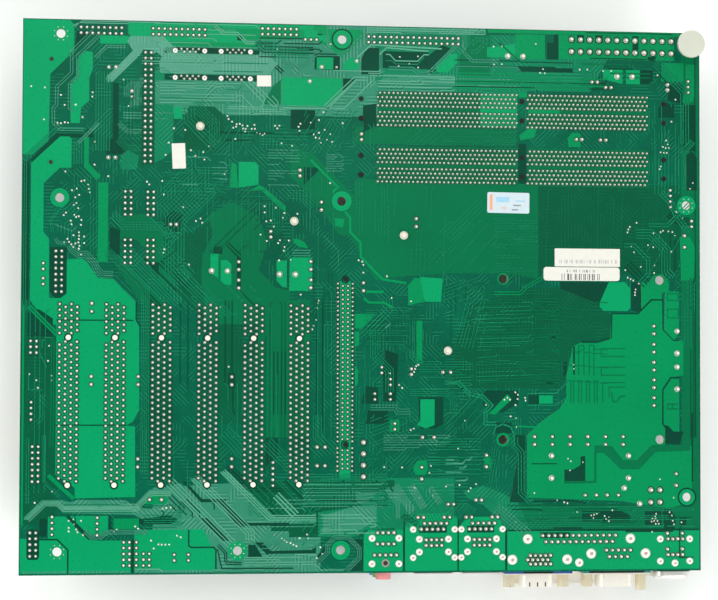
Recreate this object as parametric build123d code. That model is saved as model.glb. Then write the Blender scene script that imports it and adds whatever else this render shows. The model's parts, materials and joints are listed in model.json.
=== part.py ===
from build123d import *
import os
from math import cos, radians, sin

# Industrial ATX motherboard, lying with its solder side up as it is handled on a bench.
# Drawing coordinates: X runs along the long edge from the slot side, Y runs from the rear
# panel edge, and the solder face is Z = 0. Heights h are measured out of the component
# face, so they run downwards. The parts are written about the datum mounting hole.

# ---- Board ------------------------------------------------------------------------------
BOARD_W = 304.8          # long edge
BOARD_D = 243.84         # short edge
BOARD_T = 1.57
CASE_HOLE_R = 1.98       # 0.156 inch mounting holes
COOLER_HOLE_R = 2.0
DATUM = (16.51, 10.16)
LEFT_COLUMN = 16.51
MID_COLUMN = 140.97
RIGHT_COLUMN = 298.45
REAR_ROW = 10.16
CENTRE_ROW = 165.1
FRONT_ROW = 237.49
RIGHT_REAR_ROW = 33.02
REAR_MIDDLE = 95.25
CASE_HOLES = [
    (LEFT_COLUMN, REAR_ROW),
    (REAR_MIDDLE, REAR_ROW),
    (MID_COLUMN, REAR_ROW),
    (RIGHT_COLUMN, RIGHT_REAR_ROW),
    (LEFT_COLUMN, CENTRE_ROW),
    (MID_COLUMN, CENTRE_ROW),
    (RIGHT_COLUMN, CENTRE_ROW),
    (LEFT_COLUMN, FRONT_ROW),
    (MID_COLUMN, FRONT_ROW),
    (RIGHT_COLUMN, FRONT_ROW),
]
PEG_CLEARANCE = 0.1
PEG_PROUD = 0.2          # peg ends stand this far out of the solder face

# ---- Processor area ---------------------------------------------------------------------
SOCKET_X = 250.0
SOCKET_Y = 95.0
COOLER_PITCH = 72.0
SOCKET_SIDE = 42.5
PACKAGE_SIDE = 37.7

# ---- Expansion slots --------------------------------------------------------------------
SLOT_PITCH = 20.32
PCI_X = 20.7             # first slot
PCI_Y0 = 37.3
PCI_Y1 = 122.1
PCI_W = 8.6
PCI_H = 15.5
PCI_PEG_Y = (39.2, 103.8)
PCI_PEG_R = 1.15
PCI_CHANNEL = 1.75
PCI_CHANNEL_DEPTH = 9.0
PCI_KEY_Y = 103.85
PCIE_X = 142.9
PCIE_Y0 = 42.2
PCIE_Y1 = 131.9
PCIE_W = 7.4
PCIE_H = 11.25
PCIE_PEG_Y = (56.8, 130.2)
PCIE_PEG_R = 1.1

# ---- Memory sockets ---------------------------------------------------------------------
DIMM_Y = (211.1, 202.4, 185.7, 177.1)
DIMM_X0 = 147.2
DIMM_X1 = 290.2
DIMM_W = 6.6
DIMM_BODY_H = 9.6
DIMM_TOWER_H = 14.5
DIMM_TOWER_L = 8.4
DIMM_PEG_X = (149.6, 222.6, 288.0)
DIMM_PEG_R = 1.1
DIMM_KEY_X = 222.6
LATCH_T = 2.4
LATCH_SLOT = 3.0
LATCH_PIVOT_H = 4.2
LATCH_PIVOT_INSET = 3.6  # pivot distance from the socket's end
LATCH_PIN_R = 1.0
LATCH_H = 21.5
PIN_CLEARANCE = 0.05

# ---- Tall parts that the board lies on --------------------------------------------------
STAND_H = 33.0           # component side height of the tallest parts

# ---- Heatsinks --------------------------------------------------------------------------
NORTH_X = 179.0
NORTH_Y = 124.4
NORTH_PINS = [(169.0, 150.1), (189.0, 98.7)]
SOUTH_X = 98.85
SOUTH_Y = 176.75
SOUTH_PINS = [(77.9, 197.6), (119.8, 155.9)]
SINK_SIDE = 38.0
NORTH_CHIP_SIDE = 34.0
SOUTH_CHIP_SIDE = 31.0
CHIP_H = 2.6
SINK_BASE_T = 3.0
SOUTH_SINK_H = 13.0
EAR_R = 3.6
PUSH_PIN_R = 1.25

# ---- Rear panel -------------------------------------------------------------------------
AUDIO_X = 161.05
AUDIO_JACK_H = (6.2, 17.2, 28.2)
JACK_BORE_R = 1.8
JACK_SLEEVE_R = 3.4
JACK_PROUD = 3.4
LAN_X = (182.8, 204.5)
LAN_W = 17.6
LAN_H = 31.0
LAN_FRONT = -0.7
LAN_BACK = 25.6
SHEET = 0.35
VGA_X = 230.8
COM_X = 266.8
LPT_X = 248.8
LOWER_ROW_H = 7.4
UPPER_ROW_H = 25.6
HOUSING_Y = -0.1         # front of the D-sub housing
FACE_T = 1.0             # coloured face of each port insert
FLANGE_T = 0.6
SHELL_REACH = 7.4        # shells stand out to this distance past the board edge
PS2_X = 292.9
PS2_W = 14.2
PS2_H = 28.4
PS2_PORT_H = (8.4, 21.2)
PS2_CAP_W = 16.6
PS2_PORT_R = 5.9
PS2_FRONT = -4.1


def drop(h):
    """Z of a point h millimetres out of the component face."""
    return -BOARD_T - h


def block(x0, x1, y0, y1, h0, h1):
    """Box between two corners, with heights measured out of the component face."""
    centre = Pos((x0 + x1) / 2, (y0 + y1) / 2, drop((h0 + h1) / 2))
    return centre * Box(x1 - x0, y1 - y0, h1 - h0)


def square(x, y, side, h0, h1):
    """Upright square bar centred on a point."""
    half = side / 2
    return block(x - half, x + half, y - half, y + half, h0, h1)


def post(x, y, r, h0, h1):
    """Upright cylinder between two heights."""
    return Pos(x, y, drop((h0 + h1) / 2)) * Cylinder(r, h1 - h0)


def rod_y(x, h, r, y0, y1):
    """Cylinder lying along Y at a height."""
    return Pos(x, (y0 + y1) / 2, drop(h)) * Rot(90, 0, 0) * Cylinder(r, y1 - y0)


def prism_y(points, y0, y1):
    """Prism along Y from an outline of (x, h) points."""
    outline = Polyline(*[(x, y1, drop(h)) for x, h in points], close=True)
    return extrude(make_face(outline), amount=y1 - y0, dir=(0, -1, 0))


def prism_x(points, x0, x1):
    """Prism along X from an outline of (y, h) points."""
    outline = Polyline(*[(x0, y, drop(h)) for y, h in points], close=True)
    return extrude(make_face(outline), amount=x1 - x0, dir=(1, 0, 0))


def prism_z(points, h0, h1):
    """Upright prism from an outline of (x, y) points."""
    outline = Polyline(*[(x, y, drop(h0)) for x, y in points], close=True)
    return extrude(make_face(outline), amount=h1 - h0, dir=(0, 0, -1))


def write(name, *solids):
    """Write one node about the datum hole."""
    moved = [Pos(-DATUM[0], -DATUM[1], 0) * solid for solid in solids]
    shape = moved[0] if len(moved) == 1 else Compound(children=moved)
    export_step(shape, f"parts/{name}.step")


# ---- Circuit board ----------------------------------------------------------------------
def cooler_holes():
    """Centres of the four processor cooler holes."""
    half = COOLER_PITCH / 2
    return [(SOCKET_X + i * half, SOCKET_Y + j * half) for i in (-1, 1) for j in (-1, 1)]


def pci_x(slot):
    """Centre line of a PCI slot, counted from the board's slot-side edge."""
    return PCI_X + SLOT_PITCH * slot


def circuit_board():
    """Fibreglass board with its mounting holes and the connectors' peg holes."""
    board = Pos(BOARD_W / 2, BOARD_D / 2, -BOARD_T / 2) * Box(BOARD_W, BOARD_D, BOARD_T)
    holes = [(x, y, CASE_HOLE_R) for x, y in CASE_HOLES]
    holes += [(x, y, COOLER_HOLE_R) for x, y in cooler_holes()]
    holes += [(pci_x(n), y, PCI_PEG_R + PEG_CLEARANCE) for n in range(6) for y in PCI_PEG_Y]
    holes += [(PCIE_X, y, PCIE_PEG_R + PEG_CLEARANCE) for y in PCIE_PEG_Y]
    holes += [(x, y, DIMM_PEG_R + PEG_CLEARANCE) for x in DIMM_PEG_X for y in DIMM_Y]
    holes += [(x, y, PUSH_PIN_R + PEG_CLEARANCE) for x, y in NORTH_PINS + SOUTH_PINS]
    holes += [(x, y, CARD_PEG_R + PEG_CLEARANCE) for x, y in CARD_PEGS]
    cutters = [Pos(x, y, -BOARD_T / 2) * Cylinder(r, 2 * BOARD_T) for x, y, r in holes]
    return board - cutters


def peg(x, y, r):
    """Moulded locating peg that passes through the board."""
    length = BOARD_T + PEG_PROUD
    return Pos(x, y, PEG_PROUD - length / 2) * Cylinder(r, length)


# ---- Corner standoff --------------------------------------------------------------------
FOOT_R = 6.15
FOOT_T = 1.8
FOOT_TOP = 10.0


def corner_standoff():
    """Nylon snap-in standoff: a round foot on a post, with a barbed tip through the hole."""
    x, y = RIGHT_COLUMN, FRONT_ROW
    foot = Pos(x, y, FOOT_TOP - FOOT_T / 2) * Cylinder(FOOT_R, FOOT_T)
    stem = Pos(x, y, (FOOT_TOP - FOOT_T) / 2) * Cylinder(2.6, FOOT_TOP - FOOT_T)
    neck_length = BOARD_T + 0.4
    neck = Pos(x, y, -neck_length / 2) * Cylinder(1.85, neck_length)
    barb = Pos(x, y, -neck_length - 1.5) * Cone(1.2, 2.3, 3.0)
    return foot + stem + neck + barb


# ---- Solder joints ----------------------------------------------------------------------
POWER_X0 = 245.4
POWER_PITCH = 4.2
POWER_ROWS = (234.25, 239.75)
CPU_POWER_X = (281.8, 286.0)
CPU_POWER_Y = (30.85, 36.35)
DRIVE_POWER_X = 151.1
DRIVE_POWER_Y0 = 42.6
DRIVE_POWER_PITCH = 5.07
CHOKES_10 = [(236.2, 46.8, 90), (271.5, 46.7, 90), (294.1, 103.0, 90), (294.1, 86.8, 90)]
CHOKE_INPUT = (273.1, 33.7, -45)
CHOKES_7 = [(86.8, 133.55, 0), (116.9, 132.25, 0), (219.65, 231.6, 0), (270.0, 223.3, 0)]
JOINT_SIDES = 6


def lug_joints():
    """Centres and radii of the rear connectors' large shield and board-lock joints."""
    spots = [(AUDIO_X + i * 6.0, y, 1.6) for i in (-1, 1) for y in (4.0, 15.3)]
    for x in LAN_X:
        for side in (-1, 1):
            spots += [(x + side * 9.35, y, 1.5) for y in (6.6, 19.1)]
            spots += [(x + side * 6.55, y, 1.6) for y in (9.1, 14.8)]
    spots += [(LPT_X + side * 23.52, 14.6, 2.25) for side in (-1, 1)]
    spots += [(VGA_X + side * 12.5, 5.4, 2.3) for side in (-1, 1)]
    spots += [(COM_X + side * 12.5, 7.9, 2.3) for side in (-1, 1)]
    spots.append((LPT_X, 3.9, 1.95))
    spots += [(PS2_X + side * 6.8, y, 1.6) for side in (-1, 1) for y in (4.3, 14.25)]
    spots.append((PS2_X, 3.4, 1.65))
    return spots


def coil_joints():
    """Centres and radii of the joints of the chokes."""
    spots = []
    for x, y, angle in CHOKES_10 + [CHOKE_INPUT] + CHOKES_7:
        reach = 3.5 if (x, y, angle) in CHOKES_7 else 5.0
        for side in (-1, 1):
            dx = side * reach * cos(radians(angle))
            dy = side * reach * sin(radians(angle))
            spots.append((x + dx, y + dy, 1.3))
    return spots


def power_joints():
    """Centres and radii of the joints of the three power connectors."""
    spots = [(POWER_X0 + POWER_PITCH * n, y, 1.25) for n in range(12) for y in POWER_ROWS]
    spots += [(x, y, 1.25) for x in CPU_POWER_X for y in CPU_POWER_Y]
    spots += [(DRIVE_POWER_X, DRIVE_POWER_Y0 + DRIVE_POWER_PITCH * n, 1.3) for n in range(4)]
    return spots


def solder_joint(r):
    """Solder mound of a large through-hole lead, narrowing towards the lead's tip."""
    height = 0.75 * r
    foot = Plane.XY * RegularPolygon(r, JOINT_SIDES)
    tip = Pos(0, 0, height) * RegularPolygon(0.42 * r, JOINT_SIDES)
    return loft([foot, tip])


def solder_joints():
    """Every large joint on the solder face."""
    moulds = {}
    joints = []
    for x, y, r in lug_joints() + coil_joints() + power_joints():
        if r not in moulds:
            moulds[r] = solder_joint(r)
        joints.append(Pos(x, y, 0) * moulds[r])
    return joints


# ---- Slots ------------------------------------------------------------------------------
def pci_slot(slot):
    """5 V PCI slot: stepped housing with a flared card channel, key rib and two pegs."""
    x = pci_x(slot)
    half = PCI_W / 2
    neck = half - 0.7
    profile = [(x - half, 0), (x - half, 10.5), (x - neck, 11.2), (x - neck, PCI_H)]
    profile += [(2 * x - px, h) for px, h in reversed(profile)]
    body = prism_y(profile, PCI_Y0, PCI_Y1)
    c = PCI_CHANNEL / 2
    bottom = PCI_H - PCI_CHANNEL_DEPTH
    mouth = PCI_H + 0.1
    flare = [(x - c, bottom), (x - c, PCI_H - 1.2), (x - c - 0.9, mouth)]
    flare += [(2 * x - px, h) for px, h in reversed(flare)]
    body -= prism_y(flare, PCI_Y0 + 2.6, PCI_KEY_Y - 0.95)
    body -= prism_y(flare, PCI_KEY_Y + 0.95, PCI_Y1 - 2.6)
    return body + [peg(x, y, PCI_PEG_R) for y in PCI_PEG_Y]


def pcie_slot():
    """Sixteen-lane slot: housing with a card channel, key rib, end hook and two pegs."""
    x = PCIE_X
    half = PCIE_W / 2
    body = block(x - half, x + half, PCIE_Y0, PCIE_Y1, 0, PCIE_H)
    c = PCI_CHANNEL / 2
    bottom = PCIE_H - 8.0
    mouth = PCIE_H + 0.1
    flare = [(x - c, bottom), (x - c, PCIE_H - 1.0), (x - c - 0.8, mouth)]
    flare += [(2 * x - px, h) for px, h in reversed(flare)]
    body -= prism_y(flare, PCIE_Y0 + 2.4, PCIE_PEG_Y[0] - 0.95)
    body -= prism_y(flare, PCIE_PEG_Y[0] + 0.95, PCIE_Y1 - 2.4)
    hook = prism_x(
        [(PCIE_Y1, 2.0), (PCIE_Y1 + 4.5, 2.0), (PCIE_Y1 + 4.5, 9.5), (PCIE_Y1, 9.5)],
        x - 2.2,
        x + 2.2,
    )
    hook -= block(x - 1.2, x + 1.2, PCIE_Y1 + 1.2, PCIE_Y1 + 3.2, 4.0, 9.6)
    return body + hook + [peg(x, y, PCIE_PEG_R) for y in PCIE_PEG_Y]


# ---- Memory sockets ---------------------------------------------------------------------
def dimm_socket(y):
    """Memory socket: long channel with a key, and a slotted tower at each end."""
    half = DIMM_W / 2
    tower = DIMM_TOWER_L
    body = block(DIMM_X0, DIMM_X1, y - half, y + half, 0, DIMM_BODY_H)
    for x0 in (DIMM_X0, DIMM_X1 - tower):
        body += block(x0, x0 + tower, y - half, y + half, DIMM_BODY_H, DIMM_TOWER_H)
    channel = 0.75
    bottom = DIMM_BODY_H - 7.0
    flare = [(y - channel, bottom), (y - channel, 8.6), (y - channel - 0.9, 9.7)]
    flare += [(2 * y - py, h) for py, h in reversed(flare)]
    body -= prism_x(flare, DIMM_X0 + tower, DIMM_KEY_X - 0.75)
    body -= prism_x(flare, DIMM_KEY_X + 0.75, DIMM_X1 - tower)
    slot = LATCH_SLOT / 2
    deep = DIMM_TOWER_H + 0.1
    body -= block(DIMM_X0 - 1, DIMM_X0 + tower + 0.1, y - slot, y + slot, 1.6, deep)
    body -= block(DIMM_X1 - tower - 0.1, DIMM_X1 + 1, y - slot, y + slot, 1.6, deep)
    for x in (DIMM_X0 + LATCH_PIVOT_INSET, DIMM_X1 - LATCH_PIVOT_INSET):
        body -= rod_y(x, LATCH_PIVOT_H, LATCH_PIN_R + PIN_CLEARANCE, y - half - 1, y + half + 1)
    return body + [peg(x, y, DIMM_PEG_R) for x in DIMM_PEG_X]


def dimm_latch(y, side):
    """Ejector latch with pivot pin, module hook and thumb tab; side is -1 left, 1 right."""
    end = DIMM_X0 if side < 0 else DIMM_X1
    pivot = end - side * LATCH_PIVOT_INSET
    reach = [
        (-1.6, 2.6),
        (1.2, 2.6),
        (2.1, 12.0),
        (4.2, 16.0),
        (4.9, LATCH_H),
        (2.4, LATCH_H),
        (1.4, 18.2),
        (-2.6, 17.4),
        (-2.6, 15.6),
        (-0.6, 14.6),
        (-1.1, 6.6),
        (-3.4, 5.2),
        (-3.4, 3.6),
    ]
    outline = [(pivot + side * dx, h) for dx, h in reach]
    blade = prism_y(outline, y - LATCH_T / 2, y + LATCH_T / 2)
    pin = rod_y(pivot, LATCH_PIVOT_H, LATCH_PIN_R, y - DIMM_W / 2, y + DIMM_W / 2)
    return blade + pin


# ---- Processor socket -------------------------------------------------------------------
FRAME_T = 1.2
FRAME_HALF_X = 28.6
FRAME_HALF_Y = 30.0
PLATE_T = 1.0
PLATE_H = 5.4            # load plate's inner face above the component face
HINGE_X = SOCKET_X - 26.0
HINGE_H = 4.0
HINGE_R = 1.0
HINGE_Y = 14.0
LEVER_X = SOCKET_X + 25.5
LEVER_H = 4.2
LEVER_R = 1.0
BEARING_Y = 16.0
CRANK_OUT = 2.4
LEVER_ARM_Y = SOCKET_Y - 26.5
LEVER_ARM = 57.5


def cpu_socket_body():
    """Plastic contact carrier with raised walls round the processor's seat."""
    half = SOCKET_SIDE / 2
    seat = PACKAGE_SIDE / 2
    x, y = SOCKET_X, SOCKET_Y
    body = block(x - half, x + half, y - half, y + half, 0, 4.3)
    body -= block(x - seat, x + seat, y - seat, y + seat, 2.4, 5.0)
    body -= block(x - 7.0, x + 7.0, y - 6.0, y + 6.0, 0.8, 3.0)
    for side in (-1, 1):
        centre = x + side * seat
        body -= block(centre - 1.4, centre + 1.4, y - 6.0, y + 6.0, 2.4, 5.0)
    return body


def cpu_socket_frame():
    """Steel frame flat on the board, with hinge ears on one side and bearings on the other."""
    x, y = SOCKET_X, SOCKET_Y
    inner = SOCKET_SIDE / 2 + 0.3
    frame = block(x - FRAME_HALF_X, x + FRAME_HALF_X, y - FRAME_HALF_Y, y + FRAME_HALF_Y, 0, FRAME_T)
    frame -= block(x - inner, x + inner, y - inner, y + inner, -1, FRAME_T + 1)
    for side in (-1, 1):
        ear_y = y + side * HINGE_Y
        ear = block(HINGE_X - 2.2, HINGE_X + 2.2, ear_y - 0.6, ear_y + 0.6, FRAME_T, 6.2)
        ear -= rod_y(HINGE_X, HINGE_H, HINGE_R + PIN_CLEARANCE, ear_y - 2, ear_y + 2)
        bearing_y = y + side * BEARING_Y
        bearing = block(LEVER_X - 2.2, LEVER_X + 2.2, bearing_y - 0.9, bearing_y + 0.9, FRAME_T, 6.4)
        bearing -= rod_y(LEVER_X, LEVER_H, LEVER_R + PIN_CLEARANCE, bearing_y - 2, bearing_y + 2)
        frame = frame + ear + bearing
    hook = block(x - 16.0, x - 12.0, LEVER_ARM_Y - 2.5, LEVER_ARM_Y - 1.3, FRAME_T, 5.6)
    return frame + hook


def cpu_load_plate():
    """Steel load plate: rounded window, stiff edges, tongue, and rolled hinge tabs with a pin."""
    x, y = SOCKET_X, SOCKET_Y
    half_x, half_y = 21.6, 21.0
    top = PLATE_H + PLATE_T
    plate = block(x - half_x, x + half_x, y - half_y, y + half_y, PLATE_H, top)
    plate += block(x + half_x, LEVER_X - 2.6, y - 5.0, y + 5.0, PLATE_H, top)
    window = block(x - 15.5, x + 15.5, y - 14.5, y + 14.5, PLATE_H - 1, top + 1)
    window = fillet(window.edges().filter_by(Axis.Z), 3.0)
    plate -= window
    for side in (-1, 1):
        edge_y = y + side * (half_y - 0.5)
        plate += block(x - 17.0, x + 17.0, edge_y - 0.5, edge_y + 0.5, 4.6, PLATE_H)
        tab_y = y + side * (HINGE_Y - 3.6)
        tab = [
            (HINGE_X - 1.9, 2.4),
            (HINGE_X + 1.9, 2.4),
            (HINGE_X + 1.9, PLATE_H),
            (x - half_x, PLATE_H),
            (x - half_x, top),
            (HINGE_X - 1.0, top),
            (HINGE_X - 1.9, PLATE_H),
        ]
        plate += prism_y(tab, tab_y - 2.0, tab_y + 2.0)
    pin = rod_y(HINGE_X, HINGE_H, HINGE_R, y - HINGE_Y - 1.4, y + HINGE_Y + 1.4)
    return plate + pin


def wire(points, r, bend):
    """Bent round wire along a list of points."""
    path = FilletPolyline(*points, radius=bend)
    start = Plane(origin=path @ 0, z_dir=path % 0)
    return sweep(start * Circle(r), path=path)


def cpu_load_lever():
    """Bent wire lever: hinge stretch with a crank in its middle, arm, and turned-out grip."""
    z0 = drop(LEVER_H)
    out = CRANK_OUT * cos(radians(30))
    back = CRANK_OUT * sin(radians(30))
    tip_x = LEVER_X - LEVER_ARM
    points = [
        (LEVER_X, SOCKET_Y + BEARING_Y + 2.4, z0),
        (LEVER_X, SOCKET_Y + 10.0, z0),
        (LEVER_X - back, SOCKET_Y + 7.0, z0 - out),
        (LEVER_X - back, SOCKET_Y - 7.0, z0 - out),
        (LEVER_X, SOCKET_Y - 10.0, z0),
        (LEVER_X, LEVER_ARM_Y, z0),
        (tip_x, LEVER_ARM_Y, z0),
        (tip_x - 2.0, LEVER_ARM_Y - 6.0, z0),
    ]
    return wire(points, LEVER_R, 1.3)


# ---- Heatsinks --------------------------------------------------------------------------
def chip_package(x, y, side, die):
    """Flip-chip package: thin substrate with a raised die."""
    half = side / 2
    d = die / 2
    substrate = block(x - half, x + half, y - half, y + half, 0, 1.6)
    return substrate + block(x - d, x + d, y - d, y + d, 1.6, CHIP_H)


def heatsink(x, y, height, fins, pins):
    """Extruded aluminium heatsink with fins along Y and an ear for each push pin."""
    half = SINK_SIDE / 2
    base = CHIP_H + SINK_BASE_T
    pitch = SINK_SIDE / fins
    fin = pitch * 0.36
    profile = [(x - half, CHIP_H), (x - half, height)]
    for n in range(fins):
        left = x - half + n * (SINK_SIDE - fin) / (fins - 1)
        profile += [] if n == 0 else [(left, base), (left, height)]
        profile += [(left + fin, height)]
        profile += [] if n == fins - 1 else [(left + fin, base)]
    profile.append((x + half, CHIP_H))
    sink = prism_y(profile, y - half, y + half)
    for px, py in pins:
        inner_x = min(max(px, x - half + 5.0), x + half - 5.0)
        inner_y = min(max(py, y - half + 5.0), y + half - 5.0)
        widen = EAR_R if px == inner_x else 0.0
        arm_x = (min(px, inner_x) - widen, max(px, inner_x) + widen)
        arm_y = (min(py, inner_y), max(py, inner_y))
        sink += post(px, py, EAR_R, CHIP_H, base) + block(*arm_x, *arm_y, CHIP_H, base)
    clear = max(height, base) + 1
    for px, py in pins:
        sink -= post(px, py, EAR_R + 0.6, base, clear)
        sink -= post(px, py, PUSH_PIN_R + 0.2, 0, base + 1)
    return sink


def push_pin(x, y):
    """Plastic push pin: round head, shank through ear and board, and a barbed tip."""
    base = CHIP_H + SINK_BASE_T
    head = post(x, y, 3.0, base + 6.4, base + 8.0)
    length = base + 6.4 + BOARD_T + 0.3
    shank = Pos(x, y, 0.3 - length / 2) * Cylinder(PUSH_PIN_R, length)
    barb = Pos(x, y, 0.3 + 0.8) * Cone(1.9, 1.0, 1.6)
    return head + shank + barb


def spring_sleeve(x, y):
    """Space of the coil spring round a push pin, between the ear and the pin's head."""
    base = CHIP_H + SINK_BASE_T
    return post(x, y, 2.5, base, base + 6.4) - post(x, y, 2.1, base - 1, base + 7)


# ---- Power connectors -------------------------------------------------------------------
def cell_header(xs, ys, wall, height, cell, pin):
    """Power header block with one cell and one square pin per contact."""
    body = block(min(xs) - wall, max(xs) + wall, min(ys) - wall, max(ys) + wall, 0, height)
    cells = [square(x, y, cell, 2.6, height + 1) for x in xs for y in ys]
    pins = [square(x, y, pin, 2.4, height - 1.6) for x in xs for y in ys]
    return (body - cells) + pins


def latch_ramp(x, y, reach):
    """Catch for the cable plug's latch on the side of a power header."""
    outline = [(y, 3.0), (y + reach, 5.6), (y + reach, 7.2), (y, 7.2)]
    return prism_x(outline, x - 2.0, x + 2.0)


def atx_power_connector():
    """Twenty-four way main power header."""
    xs = [POWER_X0 + POWER_PITCH * n for n in range(12)]
    body = cell_header(xs, list(POWER_ROWS), 2.1, 12.8, 3.3, 1.0)
    return body + latch_ramp(sum(xs) / 12, POWER_ROWS[1] + 2.1, 1.2)


def cpu_power_connector():
    """Four way processor power header."""
    body = cell_header(list(CPU_POWER_X), list(CPU_POWER_Y), 2.1, 12.8, 3.3, 1.0)
    return body + latch_ramp(sum(CPU_POWER_X) / 2, CPU_POWER_Y[1] + 2.1, 1.2)


def keyed_outline(x, y0, y1, half, cut):
    """Plan outline with two corners cut off on one long side."""
    square_side = [(x - half, y0), (x + half - cut, y0), (x + half, y0 + cut)]
    return square_side + [(x + half, y1 - cut), (x + half - cut, y1), (x - half, y1)]


def drive_power_connector():
    """Four way drive power header with its open shroud and keyed corners."""
    y0 = DRIVE_POWER_Y0 - 3.6
    y1 = DRIVE_POWER_Y0 + 3 * DRIVE_POWER_PITCH + 3.6
    x = DRIVE_POWER_X
    outer = keyed_outline(x, y0, y1, 4.0, 1.6)
    inner = keyed_outline(x, y0 + 0.9, y1 - 0.9, 3.1, 1.0)
    pins = [square(x, DRIVE_POWER_Y0 + DRIVE_POWER_PITCH * n, 1.9, 2.4, 10.2) for n in range(4)]
    return (prism_z(outer, 0, 11.4) - prism_z(inner, 2.6, 12.0)) + pins


# ---- Ribbon, card and disk connectors ---------------------------------------------------
HEADER_PITCH = 2.54
IDE_X = (53.6, 56.14)
IDE_Y0 = 181.6
FLOPPY_X0 = 152.9
FLOPPY_Y = (236.45, 238.99)
SHROUD_H = 9.0
SHROUD_WALL = 1.2


def box_header(xs, ys, along_y, missing):
    """Shrouded ribbon header with a key notch; missing is the contact left out."""
    end, side = 5.0, 3.2
    ex, ey = (side, end) if along_y else (end, side)
    x0, x1, y0, y1 = min(xs) - ex, max(xs) + ex, min(ys) - ey, max(ys) + ey
    w = SHROUD_WALL
    shroud = block(x0, x1, y0, y1, 0, SHROUD_H)
    shroud -= block(x0 + w, x1 - w, y0 + w, y1 - w, 2.5, SHROUD_H + 1)
    cx, cy = (x0 + x1) / 2, (y0 + y1) / 2
    if along_y:
        shroud -= block(x0 - 1, x0 + w + 0.1, cy - 2.2, cy + 2.2, 2.5, SHROUD_H + 1)
    else:
        shroud -= block(cx - 2.2, cx + 2.2, y0 - 1, y0 + w + 0.1, 2.5, SHROUD_H + 1)
    spots = [(x, y) for i, x in enumerate(xs) for j, y in enumerate(ys) if (i, j) != missing]
    return shroud + [square(x, y, 0.64, 2.3, 8.4) for x, y in spots]


def ide_connector():
    """Forty way ribbon header with one key contact missing."""
    ys = [IDE_Y0 + HEADER_PITCH * n for n in range(20)]
    return box_header(list(IDE_X), ys, True, (1, 9))


def floppy_connector():
    """Thirty-four way ribbon header."""
    xs = [FLOPPY_X0 + HEADER_PITCH * n for n in range(17)]
    return box_header(xs, list(FLOPPY_Y), False, (2, 0))


SATA_SPOTS = [(73.2, 231.0), (93.5, 231.0), (73.2, 219.0), (93.5, 219.0)]


def sata_connector(x, y):
    """Disk data header: oval shroud round an L-shaped contact blade."""
    body = block(x - 8.3, x + 8.3, y - 2.9, y + 2.9, 0, 8.4)
    body -= block(x - 6.6, x + 6.6, y - 1.8, y + 1.8, 2.2, 9.0)
    blade = block(x - 5.1, x + 5.1, y - 0.1, y + 1.1, 2.0, 7.9)
    return body + blade + block(x - 5.1, x - 4.0, y - 1.4, y - 0.1, 2.0, 7.9)


CARD_X0 = 8.6
CARD_X1 = 42.6
CARD_Y0 = 178.6
CARD_Y1 = 228.2
CARD_H = 6.2
CARD_PEG_R = 0.9
CARD_PEGS = [(12.5, 226.1), (12.5, 180.7)]


def card_socket():
    """Memory card header: side rails and contact bar, open to the board's slot-side edge."""
    mid = (CARD_Y0 + CARD_Y1) / 2
    body = block(CARD_X0, CARD_X1, CARD_Y0, CARD_Y1, 0, CARD_H)
    body -= block(CARD_X0 - 1, CARD_X1 - 6.0, CARD_Y0 + 2.9, CARD_Y1 - 2.9, -0.5, CARD_H + 1)
    body -= block(CARD_X0 - 1, CARD_X1 - 6.0, mid - 22.6, mid + 22.6, 1.6, 5.2)
    return body + [peg(x, y, CARD_PEG_R) for x, y in CARD_PEGS]


# ---- Pin headers ------------------------------------------------------------------------
# Each entry: first pin X and Y, pins along X, pins along Y.
PIN_HEADERS = [
    (25.3, 237.95, 8, 2),
    (56.9, 238.0, 10, 2),
    (105.25, 239.05, 7, 2),
    (124.45, 237.1, 3, 1),
    (45.1, 158.05, 2, 5),
    (55.0, 157.95, 2, 5),
    (45.1, 136.7, 2, 5),
    (55.0, 136.7, 2, 5),
    (15.05, 123.85, 2, 8),
    (9.6, 127.1, 1, 2),
    (9.6, 133.7, 1, 2),
    (4.4, 97.05, 2, 3),
    (4.8, 67.8, 1, 4),
    (5.5, 40.8, 2, 7),
    (4.75, 8.4, 2, 5),
    (14.25, 17.8, 1, 4),
    (33.8, 17.4, 1, 4),
    (45.4, 4.1, 2, 5),
    (50.95, 4.1, 1, 5),
    (54.05, 4.1, 2, 3),
    (67.5, 6.15, 1, 2),
    (73.7, 6.15, 1, 2),
    (110.75, 38.8, 1, 5),
    (299.5, 216.6, 1, 3),
    (291.1, 164.3, 1, 4),
    (301.0, 155.5, 1, 2),
    (159.2, 88.7, 1, 2),
    (163.1, 83.4, 1, 2),
    (156.1, 76.9, 1, 2),
    (163.1, 76.9, 1, 2),
    (165.1, 63.6, 1, 2),
]
PIN_BASE_H = 2.54
PIN_TOP_H = 8.5
PIN_SIDE = 0.64


def pin_header(x, y, nx, ny):
    """Open pin header: plastic strip with square pins."""
    half = HEADER_PITCH / 2
    x1 = x + HEADER_PITCH * (nx - 1)
    y1 = y + HEADER_PITCH * (ny - 1)
    strip = block(x - half, x1 + half, y - half, y1 + half, 0, PIN_BASE_H)
    pins = [
        square(x + HEADER_PITCH * i, y + HEADER_PITCH * j, PIN_SIDE, PIN_BASE_H - 0.2, PIN_TOP_H)
        for i in range(nx)
        for j in range(ny)
    ]
    return strip + pins


# ---- Rear panel -------------------------------------------------------------------------
def audio_stack():
    """Sound jack housing with three bores, cut back at its front corners."""
    x = AUDIO_X
    body = block(x - 7.6, x + 7.6, 0.4, 19.6, 0, STAND_H)
    for h in AUDIO_JACK_H:
        body -= rod_y(x, h, JACK_BORE_R, 0, 14.0)
        body -= block(x + 5.2, x + 8.0, 0, 1.6, h - 4.0, h + 4.0)
    return body


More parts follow.
